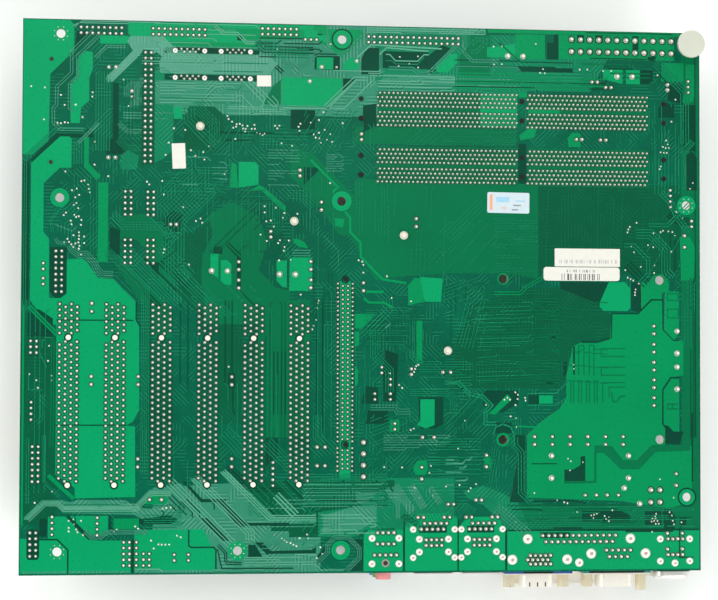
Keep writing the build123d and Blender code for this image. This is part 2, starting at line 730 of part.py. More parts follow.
def jack_sleeve(h):
    """Coloured sleeve round one jack's mouth."""
    front = -JACK_PROUD
    sleeve = rod_y(AUDIO_X, h, JACK_SLEEVE_R, front, 0.4)
    return sleeve - rod_y(AUDIO_X, h, JACK_BORE_R, front - 1, 1)


LAN_PORT_H = (18.4, 25.6)
USB_PORT_H = (5.1, 12.3)
USB_HALF_H = 2.75
USB_HALF_W = 6.5


def lan_usb_shield(x):
    """Folded sheet shield over a network jack and two USB ports, open on the board side."""
    half = LAN_W / 2
    shield = block(x - half, x + half, LAN_FRONT, LAN_BACK, 0, LAN_H)
    inner = half - SHEET
    shield -= block(x - inner, x + inner, LAN_FRONT + SHEET, LAN_BACK - SHEET, -1, LAN_H - SHEET)
    front = (LAN_FRONT - 1, LAN_FRONT + 1)
    shield -= block(x - 6.1, x + 6.1, *front, LAN_PORT_H[0] - 0.2, LAN_PORT_H[1] + 0.2)
    shield -= block(x - 3.2, x + 3.2, *front, LAN_PORT_H[1], LAN_PORT_H[1] + 2.6)
    for h in USB_PORT_H:
        shield -= block(x - USB_HALF_W, x + USB_HALF_W, *front, h - USB_HALF_H, h + USB_HALF_H)
    return shield


def lan_usb_insert(x):
    """Plastic core of a network and USB stack, with the port cavities and USB tongues."""
    half = LAN_W / 2 - SHEET
    y0 = LAN_FRONT + SHEET
    core = block(x - half, x + half, y0, LAN_BACK - SHEET, 0, LAN_H - SHEET)
    core -= block(x - 5.9, x + 5.9, y0 - 1, y0 + 15.5, LAN_PORT_H[0], LAN_PORT_H[1])
    core -= block(x - 3.0, x + 3.0, y0 - 1, y0 + 13.0, LAN_PORT_H[1], LAN_PORT_H[1] + 2.4)
    for h in USB_PORT_H:
        core -= block(x - 6.25, x + 6.25, y0 - 1, y0 + 10.5, h - 2.55, h + 2.55)
        core += block(x - 5.6, x + 5.6, y0 + 1.0, y0 + 11.0, h - 1.6, h + 0.3)
    return core


def d_section(x, h, y, wide, tall, corner):
    """D-shaped face in the panel plane; its wide side is away from the board."""
    plane = Plane(origin=(x, y, drop(h)), x_dir=(1, 0, 0), z_dir=(0, -1, 0))
    top, bottom = tall / 2, -tall / 2
    narrow = wide / 2 - tall * 0.176
    outline = [(-narrow, top), (narrow, top), (wide / 2, bottom), (-wide / 2, bottom)]
    face = make_face(Polyline(*outline, close=True))
    return plane * fillet(face.vertices(), corner)


FEMALE = (16.3, 7.9)
MALE = (17.7, 8.9)
LONG = (38.5, 7.9)
SHELL_T = 0.4
PORTS = {
    "vga": (VGA_X, LOWER_ROW_H),
    "serial": (COM_X, LOWER_ROW_H),
    "parallel": (LPT_X, UPPER_ROW_H),
}
FACE_HALF = {"vga": 15.5, "serial": 15.5, "parallel": 26.5}
NOTCH_HALF = {"vga": 6.8, "serial": 12.7, "parallel": 0.0}
FACE_TALL = 12.4
NOTCH_DEPTH = 1.2
FACE_Y = HOUSING_Y - FACE_T
SCREW_BORE_R = 1.3
D_HALF_PITCH = 12.5
LONG_HALF_PITCH = 23.52


def d_sub_housing():
    """Moulded housing that carries three D-sub ports in two rows."""
    x0, x1 = VGA_X - 15.5, COM_X + 15.5
    body = block(x0, x1, HOUSING_Y, 18.6, 0, STAND_H)
    body -= block(x0 - 1, x1 + 1, HOUSING_Y - 1, 1.6, 14.0, 19.0)
    body -= block(x0 - 1, LPT_X - 26.5, HOUSING_Y - 1, 10.5, 19.0, STAND_H + 1)
    body -= block(LPT_X + 26.5, x1 + 1, HOUSING_Y - 1, 10.5, 19.0, STAND_H + 1)
    for port in ("vga", "serial"):
        x, h = PORTS[port]
        half = NOTCH_HALF[port]
        top = h - FACE_TALL / 2
        body += block(x - half, x + half, FACE_Y, HOUSING_Y, top, top + NOTCH_DEPTH)
    return body


def d_sub_shell(port, size):
    """Pressed steel flange with a D-shaped skirt."""
    x, h = PORTS[port]
    wide, tall = size
    front = FACE_Y - FLANGE_T
    half = FACE_HALF[port] - 0.1
    flange = block(x - half, x + half, front, FACE_Y, h - 6.1, h + 6.1)
    skirt = extrude(d_section(x, h, front, wide, tall, 2.4), amount=SHELL_REACH + front)
    bore_face = d_section(x, h, FACE_Y + 1, wide - 2 * SHELL_T, tall - 2 * SHELL_T, 2.0)
    return (flange + skirt) - extrude(bore_face, amount=20)


def d_insert(port, size, front):
    """Plastic insert: coloured face behind the flange and a D-shaped plug inside the shell."""
    x, h = PORTS[port]
    wide, tall = size
    gap = 2 * SHELL_T
    half = FACE_HALF[port]
    low, high = h - FACE_TALL / 2, h + FACE_TALL / 2
    face = block(x - half, x + half, FACE_Y, HOUSING_Y, low, high)
    if NOTCH_HALF[port]:
        notch = NOTCH_HALF[port]
        face -= block(x - notch, x + notch, FACE_Y - 1, HOUSING_Y + 1, low - 1, low + NOTCH_DEPTH)
    plug = extrude(d_section(x, h, FACE_Y, wide - gap, tall - gap, 2.0), amount=FACE_Y - front)
    return face + plug


def serial_port_insert():
    """Floor of the male serial port with its nine pins."""
    x, h = PORTS["serial"]
    floor = d_insert("serial", MALE, -2.6)
    pins = []
    for row, count in ((1.42, 5), (-1.42, 4)):
        for n in range(count):
            px = x + (n - (count - 1) / 2) * 2.77
            pins.append(block(px - 0.45, px + 0.45, -6.9, -2.5, h + row - 0.45, h + row + 0.45))
    return floor + pins


def jack_screw(x, h, front):
    """Hexagonal jack screw with a threaded hole in its end."""
    y0 = FACE_Y - FLANGE_T
    plane = Plane(origin=(x, y0, drop(h)), x_dir=(1, 0, 0), z_dir=(0, -1, 0))
    body = extrude(plane * RegularPolygon(2.7, 6), amount=y0 - front)
    return body - rod_y(x, h, SCREW_BORE_R, front - 1, front + 5.0)


def jack_screws():
    """Six jack screws; the outer one of the serial port is backed out a little."""
    spots = [(VGA_X + s * D_HALF_PITCH, LOWER_ROW_H, -7.5) for s in (-1, 1)]
    spots.append((COM_X - D_HALF_PITCH, LOWER_ROW_H, -7.5))
    spots.append((COM_X + D_HALF_PITCH, LOWER_ROW_H, -9.2))
    spots += [(LPT_X + s * LONG_HALF_PITCH, UPPER_ROW_H, -7.5) for s in (-1, 1)]
    return [jack_screw(*spot) for spot in spots]


def ps2_housing():
    """Keyboard and mouse stack: block with two round ports facing the rear."""
    x = PS2_X
    half = PS2_W / 2
    body = block(x - half, x + half, -0.5, 17.6, 0, PS2_H)
    for h in PS2_PORT_H:
        body += rod_y(x, h, PS2_PORT_R, PS2_FRONT + 0.4, -0.5)
        body -= rod_y(x, h, 4.8, -5, 6.0) - rod_y(x, h, 3.7, PS2_FRONT + 1.2, 6.0)
    return body


def ps2_shield():
    """Drawn metal front of the keyboard and mouse stack, with two port openings."""
    x = PS2_X
    half = PS2_CAP_W / 2
    low, high = 1.4, PS2_H - 0.2
    shield = block(x - half, x + half, PS2_FRONT, -0.5, low, high)
    shield = fillet(shield.edges().filter_by(Axis.Y), 4.0)
    shield = fillet(shield.faces().sort_by(Axis.Y)[0].edges(), 1.6)
    for h in PS2_PORT_H:
        shield -= rod_y(x, h, PS2_PORT_R + 0.05, PS2_FRONT - 1, 0)
    return shield


# ---- Small parts ------------------------------------------------------------------------
# Each entry: centre X and Y, radius, height.
CAP_ROW_Y = 58.6
CAP_COLUMN_X = 283.3
CAPACITORS = [(228.4 + 8.12 * n, CAP_ROW_Y, 3.95, 11.5) for n in range(6)]
CAPACITORS += [(CAP_COLUMN_X, y, 3.95, 11.5) for y in (108.5, 100.25, 92.15, 84.2, 76.15)]
CAPACITORS += [(95.25, y, 3.95, 11.5) for y in (135.9, 127.75)]
CAPACITORS += [(127.3, y, 3.95, 11.5) for y in (136.3, 128.15)]
CAPACITORS += [(x, y, 3.95, 11.5) for x in (30.8, 51.3, 92.4) for y in (85.0,)]
CAPACITORS += [(x, 48.9, 3.95, 11.5) for x in (51.3, 92.5)]
CAPACITORS += [(30.8, 117.0, 3.95, 11.5), (150.9, 127.0, 3.95, 11.5), (59.2, 32.8, 3.95, 11.5)]
CAPACITORS += [(132.15, 55.75, 3.95, 11.5), (132.15, 47.5, 3.95, 11.5)]
CAPACITORS += [(180.2, 60.1, 3.95, 11.5), (177.25, 44.15, 3.95, 11.5)]
CAPACITORS += [(206.5, 49.5, 3.95, 11.5), (188.5, 89.1, 3.95, 11.5), (131.9, 162.8, 3.95, 11.5)]
CAPACITORS += [(174.6, 155.9, 3.95, 11.5), (297.6, 148.7, 3.95, 11.5), (293.5, 41.0, 3.95, 11.5)]
SMALL_CANS = [(254.1, 34.1), (264.2, 34.1), (256.1, 220.6), (262.4, 218.2), (248.9, 194.4)]
SMALL_CANS += [(260.0, 194.3), (149.8, 194.0), (66.35, 153.9), (109.4, 150.0), (122.3, 177.4)]
SMALL_CANS += [(172.5, 89.3), (203.0, 32.1), (190.4, 30.25)]
CAPACITORS += [(x, y, 2.9, 9.0) for x, y in SMALL_CANS]


def capacitor(x, y, r, height):
    """Electrolytic can standing on its rubber bung."""
    return post(x, y, r, 0, height)


def choke(x, y, angle, width, thick):
    """Upright toroidal choke: an eight-sided wound ring on edge with an open middle."""
    place = Pos(x, y, drop(width / 2)) * Rot(0, 0, angle) * Rot(90, 0, 0)
    ring = extrude(RegularPolygon(width / 2 / cos(radians(22.5)), 8, rotation=22.5), thick / 2, both=True)
    hole = extrude(RegularPolygon(width / 5, 8, rotation=22.5), thick, both=True)
    return place * (ring - hole)


def chokes():
    """Every choke of the board's power stages."""
    rings = [choke(x, y, angle, 13.6, 6.6) for x, y, angle in CHOKES_10]
    rings.append(choke(*CHOKE_INPUT, 10.0, 5.2))
    rings += [choke(x, y, angle, 8.8, 8.0) for x, y, angle in CHOKES_7]
    return rings


TRANSISTORS = [(245.5, 47.5), (254.0, 47.5), (262.5, 47.5), (301.2, 100.0), (301.2, 84.0)]


def power_transistor(x, y):
    """Surface-mount power transistor with its wide drain tab."""
    body = block(x - 3.2, x + 3.2, y - 3.0, y + 3.1, 0, 2.3)
    return body + block(x - 2.7, x + 2.7, y + 3.1, y + 4.4, 0.0, 0.5)


# Each entry: centre X and Y, length along X, length along Y, height.
LOGIC_CHIPS = [
    (30.0, 155.0, 20.0, 14.0, 2.6),
    (132.0, 195.5, 7.5, 13.0, 2.2),
    (186.0, 42.0, 9.0, 9.0, 1.4),
    (212.2, 40.0, 9.0, 9.0, 1.4),
    (117.0, 20.0, 7.0, 7.0, 1.4),
    (134.0, 150.0, 11.5, 14.0, 3.0),
    (250.0, 24.6, 10.0, 5.3, 1.8),
    (262.5, 24.6, 10.0, 5.3, 1.8),
    (283.0, 23.0, 5.3, 8.0, 1.8),
    (215.0, 74.0, 7.0, 7.0, 1.2),
]


def logic_chip(x, y, dx, dy, height):
    """Moulded logic chip."""
    return block(x - dx / 2, x + dx / 2, y - dy / 2, y + dy / 2, 0, height)


CELL_X = 137.0
CELL_Y = 222.8
CELL_R = 10.0


def coin_cell_holder():
    """Round tray for a coin cell, with a spring arm slot on one side."""
    tray = post(CELL_X, CELL_Y, CELL_R + 1.6, 0, 4.6)
    tray -= post(CELL_X, CELL_Y, CELL_R + 0.2, 1.2, 5.0)
    return tray - block(CELL_X - 3.0, CELL_X + 3.0, CELL_Y - 14.0, CELL_Y - 8.0, 1.2, 5.0)


def coin_cell():
    """3 V coin cell, 20 mm across."""
    return post(CELL_X, CELL_Y, CELL_R, 1.2, 4.4)


# ---- Assembly ---------------------------------------------------------------------------
os.makedirs("parts", exist_ok=True)

write("circuit_board", circuit_board())
write("corner_standoff", corner_standoff())
write("solder_joints", *solder_joints())

for number in range(6):
    write(f"pci_slot_{number + 1}", pci_slot(number))
write("pcie_slot", pcie_slot())
for number, row_y in enumerate(DIMM_Y, start=1):
    write(f"dimm_socket_{number}", dimm_socket(row_y))
    write(f"dimm_latch_{number}_left", dimm_latch(row_y, -1))
    write(f"dimm_latch_{number}_right", dimm_latch(row_y, 1))

write("cpu_socket_body", cpu_socket_body())
write("cpu_socket_frame", cpu_socket_frame())
write("cpu_load_plate", cpu_load_plate())
write("cpu_load_lever", cpu_load_lever())

write("northbridge_chip", chip_package(NORTH_X, NORTH_Y, NORTH_CHIP_SIDE, 11.0))
write("southbridge_chip", chip_package(SOUTH_X, SOUTH_Y, SOUTH_CHIP_SIDE, 9.0))
write("northbridge_heatsink", heatsink(NORTH_X, NORTH_Y, STAND_H, 9, NORTH_PINS))
write("southbridge_heatsink", heatsink(SOUTH_X, SOUTH_Y, SOUTH_SINK_H, 9, SOUTH_PINS))
write("heatsink_push_pins", *[push_pin(x, y) for x, y in NORTH_PINS + SOUTH_PINS])
write("heatsink_springs", *[spring_sleeve(x, y) for x, y in NORTH_PINS + SOUTH_PINS])

write("atx_power_connector", atx_power_connector())
write("cpu_power_connector", cpu_power_connector())
write("drive_power_connector", drive_power_connector())
write("ide_connector", ide_connector())
write("floppy_connector", floppy_connector())
write("sata_connectors", *[sata_connector(x, y) for x, y in SATA_SPOTS])
write("card_socket", card_socket())
write("pin_headers", *[pin_header(*spot) for spot in PIN_HEADERS])

write("audio_stack", audio_stack())
write("mic_jack_sleeve", jack_sleeve(AUDIO_JACK_H[0]))
write("line_jack_sleeves", *[jack_sleeve(h) for h in AUDIO_JACK_H[1:]])
for number, stack_x in enumerate(LAN_X, start=1):
    write(f"lan_usb_shield_{number}", lan_usb_shield(stack_x))
write("lan_usb_inserts", *[lan_usb_insert(x) for x in LAN_X])
write("d_sub_housing", d_sub_housing())
sizes = {"vga": FEMALE, "serial": MALE, "parallel": LONG}
write("d_sub_shells", *[d_sub_shell(port, size) for port, size in sizes.items()])
write("vga_port_insert", d_insert("vga", FEMALE, -7.2))
write("serial_port_insert", serial_port_insert())
write("parallel_port_insert", d_insert("parallel", LONG, -7.2))
write("jack_screws", *jack_screws())
write("ps2_housing", ps2_housing())
write("ps2_shield", ps2_shield())

write("capacitors", *[capacitor(*spot) for spot in CAPACITORS])
write("power_chokes", *chokes())
write("power_transistors", *[power_transistor(x, y) for x, y in TRANSISTORS])
write("logic_chips", *[logic_chip(*spot) for spot in LOGIC_CHIPS])
write("coin_cell_holder", coin_cell_holder())
write("coin_cell", coin_cell())
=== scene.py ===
"""Looks of an industrial ATX motherboard that lies on its tall parts, solder side up.

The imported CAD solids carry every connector, socket and heatsink. This script dresses them in
procedural finishes and adds what is too fine for the solids: copper under the solder mask,
solder fillets, labels, wound chokes, sleeved capacitors and the contacts of the rear ports.
"""

import json
import logging
import math
import random
from dataclasses import dataclass, field
from enum import Enum

import bpy
from mathutils import Euler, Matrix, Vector
from mathutils.geometry import tessellate_polygon

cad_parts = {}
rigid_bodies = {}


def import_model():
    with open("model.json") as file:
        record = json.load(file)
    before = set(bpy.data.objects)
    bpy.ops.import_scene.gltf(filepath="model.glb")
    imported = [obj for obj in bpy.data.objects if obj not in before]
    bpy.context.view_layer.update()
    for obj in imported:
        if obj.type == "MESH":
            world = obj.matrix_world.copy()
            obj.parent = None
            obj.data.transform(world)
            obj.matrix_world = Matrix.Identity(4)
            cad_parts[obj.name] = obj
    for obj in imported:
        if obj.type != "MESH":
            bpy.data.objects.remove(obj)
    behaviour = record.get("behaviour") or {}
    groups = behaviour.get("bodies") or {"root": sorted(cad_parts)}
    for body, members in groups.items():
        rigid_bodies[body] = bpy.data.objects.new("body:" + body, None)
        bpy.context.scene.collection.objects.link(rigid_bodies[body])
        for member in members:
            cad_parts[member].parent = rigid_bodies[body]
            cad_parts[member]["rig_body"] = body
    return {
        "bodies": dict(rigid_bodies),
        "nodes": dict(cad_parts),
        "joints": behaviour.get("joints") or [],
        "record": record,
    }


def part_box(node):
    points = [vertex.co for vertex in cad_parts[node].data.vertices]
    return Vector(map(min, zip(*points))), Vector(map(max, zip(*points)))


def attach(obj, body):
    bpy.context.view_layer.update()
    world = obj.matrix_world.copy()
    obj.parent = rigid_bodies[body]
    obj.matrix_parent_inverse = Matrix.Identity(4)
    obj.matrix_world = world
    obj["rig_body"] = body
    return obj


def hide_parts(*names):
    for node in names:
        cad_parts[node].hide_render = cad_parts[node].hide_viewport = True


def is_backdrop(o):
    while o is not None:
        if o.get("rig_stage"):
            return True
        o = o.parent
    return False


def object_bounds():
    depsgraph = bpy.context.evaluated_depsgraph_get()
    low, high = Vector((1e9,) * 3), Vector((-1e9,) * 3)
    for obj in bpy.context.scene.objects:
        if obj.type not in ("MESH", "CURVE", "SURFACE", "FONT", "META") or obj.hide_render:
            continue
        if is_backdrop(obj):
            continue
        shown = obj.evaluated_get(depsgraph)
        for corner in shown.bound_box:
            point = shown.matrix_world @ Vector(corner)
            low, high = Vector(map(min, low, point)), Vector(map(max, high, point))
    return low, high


LOG = logging.getLogger("motherboard")
Point2 = tuple[float, float]
Point3 = tuple[float, float, float]
Tree = bpy.types.NodeTree
Node = bpy.types.Node
Socket = bpy.types.NodeSocket

# Driving places and sizes, in board millimetres: x from the slot side, y from the rear edge.
MM = 0.001
BOARD_T = 1.57
PITCH = 2.54  # grid of the slots' and headers' pins
SLOT_PITCH = 20.32
FIRST_SLOT_X = 20.7
SLOTS = 6
CASE_HOLE_R = 1.98
COOLER_HOLE_R = 2.0
CASE_HOLES = [(16.51, 10.16), (95.25, 10.16), (140.97, 10.16), (298.45, 33.02), (16.51, 165.1)]
CASE_HOLES += [(140.97, 165.1), (298.45, 165.1), (16.51, 237.49), (140.97, 237.49)]
THROUGH_HOLES = [(x, y, CASE_HOLE_R) for x, y in CASE_HOLES]
THROUGH_HOLES += [(x, y, COOLER_HOLE_R) for x in (214.0, 286.0) for y in (59.0, 131.0)]

# The rear ports' centres along the edge, and their axes' heights over the component side.
SOUND_X = 161.05
NETWORK_X = (182.8, 204.5)
VIDEO_X = 230.8
PARALLEL_X = 248.8
SERIAL_X = 266.8
ROUND_X = 292.9
LOWER_PORT_H = 7.4
UPPER_PORT_H = 25.6
JACK_SCREW_REACH = 12.5  # from the middle of a short port to its screws
LONG_SCREW_REACH = 23.52  # the same for the parallel port
CONTACT_PITCH = 2.77

SATA_SPOTS = ((73.2, 231.0), (93.5, 231.0), (73.2, 219.0), (93.5, 219.0))
LARGE_CHOKES = ((236.2, 46.8), (271.5, 46.7), (294.1, 103.0), (294.1, 86.8))
TURNED_CHOKE = (273.1, 33.7)
LYING_CHOKES = ((86.8, 133.55), (116.9, 132.25), (219.65, 231.6), (270.0, 223.3))


# ---- Colour and node helpers --------------------------------------------------------------
def linear(shade: str) -> tuple[float, float, float, float]:
    """Turns an sRGB hex colour into linear light.

    Args:
        shade: Six hex digits.

    Returns:
        Linear red, green and blue with an alpha of one.
    """
    parts = [int(shade[i : i + 2], 16) / 255 for i in (0, 2, 4)]
    lit = [p / 12.92 if p <= 0.04045 else ((p + 0.055) / 1.055) ** 2.4 for p in parts]
    return (lit[0], lit[1], lit[2], 1.0)


def add_node(
    tree: Tree, kind: str, settings: dict | None = None, links: dict | None = None
) -> Node:
    """Adds one shader node with its settings and what feeds it.

    Args:
        tree: The material's node tree.
        kind: Node type without its leading "ShaderNode".
        settings: Input values by name or index; a name that starts with a dot is a property.
        links: By input name or index, the socket that feeds it, or a node for its first output.

    Returns:
        The new node.
    """
    made = tree.nodes.new("ShaderNode" + kind)
    for key, value in (settings or {}).items():
        if isinstance(key, str) and key.startswith("."):
            setattr(made, key[1:], value)
        else:
            made.inputs[key].default_value = value
    for key, source in (links or {}).items():
        tree.links.new(source.outputs[0] if isinstance(source, Node) else source, made.inputs[key])
    return made


def object_millimetres(tree: Tree) -> Socket:
    """Returns a socket with the piece's own coordinates in millimetres."""
    place = add_node(tree, "TexCoord").outputs["Object"]
    return add_node(tree, "VectorMath", {".operation": "SCALE", "Scale": 1 / MM}, {0: place}).outputs[0]


# ---- Finishes -----------------------------------------------------------------------------
BAND = 0.314  # scale at which a wave texture's bands repeat once in a millimetre


@dataclass(frozen=True)
class Finish:
    """Base of every finish: a named material made once from its shader nodes."""

    name: str

    def make(self) -> bpy.types.Material:
        """Returns the material and builds its nodes the first time.

        Returns:
            The finish's material.
        """
        found = bpy.data.materials.get(self.name)
        if found is not None:
            return found
        material = bpy.data.materials.new(self.name)
        material.use_nodes = True
        tree = material.node_tree
        tree.nodes.clear()
        shader = self.shader(tree, object_millimetres(tree))
        add_node(tree, "OutputMaterial", links={"Surface": shader})
        return material

    def shader(self, tree: Tree, place: Socket) -> Node:
        """Builds the surface shader; each kind of finish has its own.

        Args:
            tree: The material's node tree.
            place: Object coordinates in millimetres.

        Returns:
            The shader node.
        """
        raise NotImplementedError


@dataclass(frozen=True)
class MouldedPlastic(Finish):
    """Injection-moulded thermoplastic: eroded-tool grain and faint flow marks in its sheen."""

    shade: str = "202124"
    flow_shade: str = "17181A"
    roughness: float = 0.45
    flow_mm: float = 7.0
    grain_mm: float = 0.4  # spark-eroded tool grain, drawn a little coarse so it shows
    grain_depth_mm: float = 0.02
    translucency: float = 0.0
    gloss_level: float = 0.5

    def shader(self, tree: Tree, place: Socket) -> Node:
        """Builds flow mottling, tool grain and a grain-broken sheen.

        Args:
            tree: The material's node tree.
            place: Object coordinates in millimetres.

        Returns:
            The shader node.
        """
        flow = add_node(tree, "TexNoise", {"Scale": 1 / self.flow_mm, "Detail": 2.0}, {"Vector": place})
        shades = {".data_type": "RGBA", 6: linear(self.flow_shade), 7: linear(self.shade)}
        tint = add_node(tree, "Mix", shades, {0: flow})
        grain = add_node(tree, "TexNoise", {"Scale": 1 / self.grain_mm, "Detail": 3.0}, {"Vector": place})
        spread = {"To Min": self.roughness - 0.08, "To Max": self.roughness + 0.1}
        sheen = add_node(tree, "MapRange", spread, {"Value": grain})
        relief = {"Strength": 0.35, "Distance": self.grain_depth_mm * MM}
        bump = add_node(tree, "Bump", relief, {"Height": grain})
        body = {
            "IOR": 1.5,
            "Specular IOR Level": self.gloss_level,
            "Subsurface Weight": self.translucency,
            "Subsurface Scale": 0.002,
        }
        links = {"Base Color": tint.outputs[2], "Roughness": sheen, "Normal": bump}
        return add_node(tree, "BsdfPrincipled", body, links)


@dataclass(frozen=True)
class SolderMask(Finish):
    """Liquid photo-imaged epoxy mask, curtain coated: glossy, deep green, thinner over edges."""

    shade: str
    deep_shade: str
    roughness: float = 0.3
    cloth_depth_mm: float = 0.012
    trace_shade: str = "1C8760"
    trace_mix: float = 0.0
    cloth_mm: float = 0.9  # glass cloth weave of 0.5 mm, drawn coarser so it shows
    layer_mm: float = 0.3454  # glass cloth layers seen on a routed edge
    edge_shade: str = "B9C08A"
    layer_shade: str = "8E9A62"
    gloss_level: float = 0.14
    gap_shade: str = "003A2A"
    trace_mm: float = 1.5
    field_mm: float = 15.0

    def routed(self, tree: Tree, place: Socket, dye: Socket) -> Socket:
        """Adds fields of fine parallel traces and gaps, turned in steps of 45 degrees.

        Args:
            tree: The material's node tree.
            place: Object coordinates in millimetres.
            dye: The mask's own colour.

        Returns:
            The colour with the traces showing through.
        """
        cells = {".distance": "MANHATTAN", "Scale": 1 / self.field_mm, "Randomness": 0.85}
        fields = add_node(tree, "TexVoronoi", cells, {"Vector": place})
        draws = add_node(tree, "SeparateColor", links={0: fields.outputs["Color"]})
        quarter = add_node(tree, "Math", {".operation": "MULTIPLY", 1: 4.0}, {0: draws})
        whole = add_node(tree, "Math", {".operation": "FLOOR"}, {0: quarter})
        angle = add_node(tree, "Math", {".operation": "MULTIPLY", 1: math.pi / 4}, {0: whole})
        turned = add_node(
            tree, "VectorRotate", {".rotation_type": "Z_AXIS"}, {"Vector": place, "Angle": angle}
        )
        stripes = {".bands_direction": "X", "Scale": BAND / self.trace_mm, "Distortion": 0.0}
        lines = add_node(tree, "TexWave", stripes, {"Vector": turned})
        breaks = add_node(tree, "TexNoise", {"Scale": 1 / 7.0, "Detail": 1.0}, {"Vector": place})
        opening = {"From Min": 0.47, "From Max": 0.55, "To Min": 0.0, "To Max": self.trace_mix}
        gate = add_node(tree, "MapRange", opening, {"Value": breaks})
        colour = dye
        for shade, low, high in ((self.trace_shade, 0.6, 0.85), (self.gap_shade, 0.3, 0.1)):
            share = add_node(
                tree, "MapRange", {"From Min": low, "From Max": high}, {"Value": lines.outputs[1]}
            )
            amount = add_node(tree, "Math", {".operation": "MULTIPLY"}, {0: share, 1: gate})
            strip = {".data_type": "RGBA", 7: linear(shade)}
            colour = add_node(tree, "Mix", strip, {0: amount, 6: colour}).outputs[2]
        return colour

    def shader(self, tree: Tree, place: Socket) -> Node:
        """Builds the dyed mask, the cloth under it and the bare laminate of routed edges.

        Args:
            tree: The material's node tree.
            place: Object coordinates in millimetres.

        Returns:
            The shader node.
        """
        broad = add_node(tree, "TexNoise", {"Scale": 1 / 38.0, "Detail": 3.0}, {"Vector": place})
        speck = add_node(tree, "TexNoise", {"Scale": 1 / 1.6, "Detail": 4.0}, {"Vector": place})
        both = add_node(tree, "Math", {".operation": "MULTIPLY_ADD", 1: 0.35}, {0: speck, 2: broad})
        spread = add_node(tree, "MapRange", {"From Min": 0.42, "From Max": 0.95}, {"Value": both})
        shades = {".data_type": "RGBA", 6: linear(self.deep_shade), 7: linear(self.shade)}
        green = add_node(tree, "Mix", shades, {0: spread}).outputs[2]
        if self.trace_mix:
            green = self.routed(tree, place, green)
        stack = {".bands_direction": "Z", "Scale": BAND / self.layer_mm, "Distortion": 1.5, "Detail": 2.0}
        layers = add_node(tree, "TexWave", stack, {"Vector": place})
        edge = {".data_type": "RGBA", 6: linear(self.edge_shade), 7: linear(self.layer_shade)}
        laminate = add_node(tree, "Mix", edge, {0: layers})
        facing = add_node(tree, "NewGeometry").outputs["True Normal"]
        parts = add_node(tree, "SeparateXYZ", links={0: facing})
        upright = add_node(tree, "Math", {".operation": "ABSOLUTE"}, {0: parts.outputs[2]})
        flat = add_node(tree, "MapRange", {"From Min": 0.4, "From Max": 0.6}, {"Value": upright})
        colour = add_node(
            tree, "Mix", {".data_type": "RGBA"}, {0: flat, 6: laminate.outputs[2], 7: green}
        )
        threads = []
        for direction in "XY":
            weave = {".bands_direction": direction, "Scale": BAND / self.cloth_mm, "Distortion": 0.3}
            threads.append(add_node(tree, "TexWave", weave, {"Vector": place}).outputs[1])
        cloth = add_node(tree, "Math", {".operation": "ADD"}, {0: threads[0], 1: threads[1]})
        relief = {"Strength": 0.3, "Distance": self.cloth_depth_mm * MM}
        bump = add_node(tree, "Bump", relief, {"Height": cloth})
        shine = {"To Min": self.roughness - 0.06, "To Max": self.roughness + 0.08}
        gloss = add_node(tree, "MapRange", shine, {"Value": speck})
        body = {"IOR": 1.52, "Specular IOR Level": self.gloss_level}
        links = {"Base Color": colour.outputs[2], "Roughness": gloss, "Normal": bump}
        return add_node(tree, "BsdfPrincipled", body, links)


@dataclass(frozen=True)
class Metal(Finish):
    """Metal surface: a pair of tints, streaks from its making and a broken gloss."""

    shade: str
    dull_shade: str
    roughness: float
    streak_mm: tuple[float, float, float]
    grain_mm: float
    grain_depth_mm: float
    metal: float = 1.0

    def shader(self, tree: Tree, place: Socket) -> Node:
        """Builds stretched streaks in tint and gloss, and a fine grain bump.

        Args:
            tree: The material's node tree.
            place: Object coordinates in millimetres.

        Returns:
            The shader node.
        """
        stretched = add_node(tree, "VectorMath", {".operation": "DIVIDE", 1: self.streak_mm}, {0: place})
        streaks = add_node(tree, "TexNoise", {"Scale": 1.0, "Detail": 4.0}, {"Vector": stretched})
        shades = {".data_type": "RGBA", 6: linear(self.dull_shade), 7: linear(self.shade)}
        tint = add_node(tree, "Mix", shades, {0: streaks})
        shine = {"To Min": self.roughness + 0.14, "To Max": self.roughness - 0.08}
        gloss = add_node(tree, "MapRange", shine, {"Value": streaks})
        grain = add_node(tree, "TexNoise", {"Scale": 1 / self.grain_mm, "Detail": 2.0}, {"Vector": place})
        relief = {"Strength": 0.4, "Distance": self.grain_depth_mm * MM}
        bump = add_node(tree, "Bump", relief, {"Height": grain})
        links = {"Base Color": tint.outputs[2], "Roughness": gloss, "Normal": bump}
        return add_node(tree, "BsdfPrincipled", {"Metallic": self.metal}, links)


@dataclass(frozen=True)
class HeightSplit(Finish):
    """Two finishes in one moulding, told apart by height below the board's solder face."""

    near: Finish
    far: Finish
    split_mm: float

    def shader(self, tree: Tree, place: Socket) -> Node:
        """Builds both shaders and mixes them at the split height.

        Args:
            tree: The material's node tree.
            place: Object coordinates in millimetres.

        Returns:
            The shader node.
        """
        parts = add_node(tree, "SeparateXYZ", links={0: place})
        split = {".operation": "GREATER_THAN", 1: self.split_mm}
        above = add_node(tree, "Math", split, {0: parts.outputs[2]})
        far = self.far.shader(tree, place)
        near = self.near.shader(tree, place)
        return add_node(tree, "MixShader", links={0: above, 1: far, 2: near})


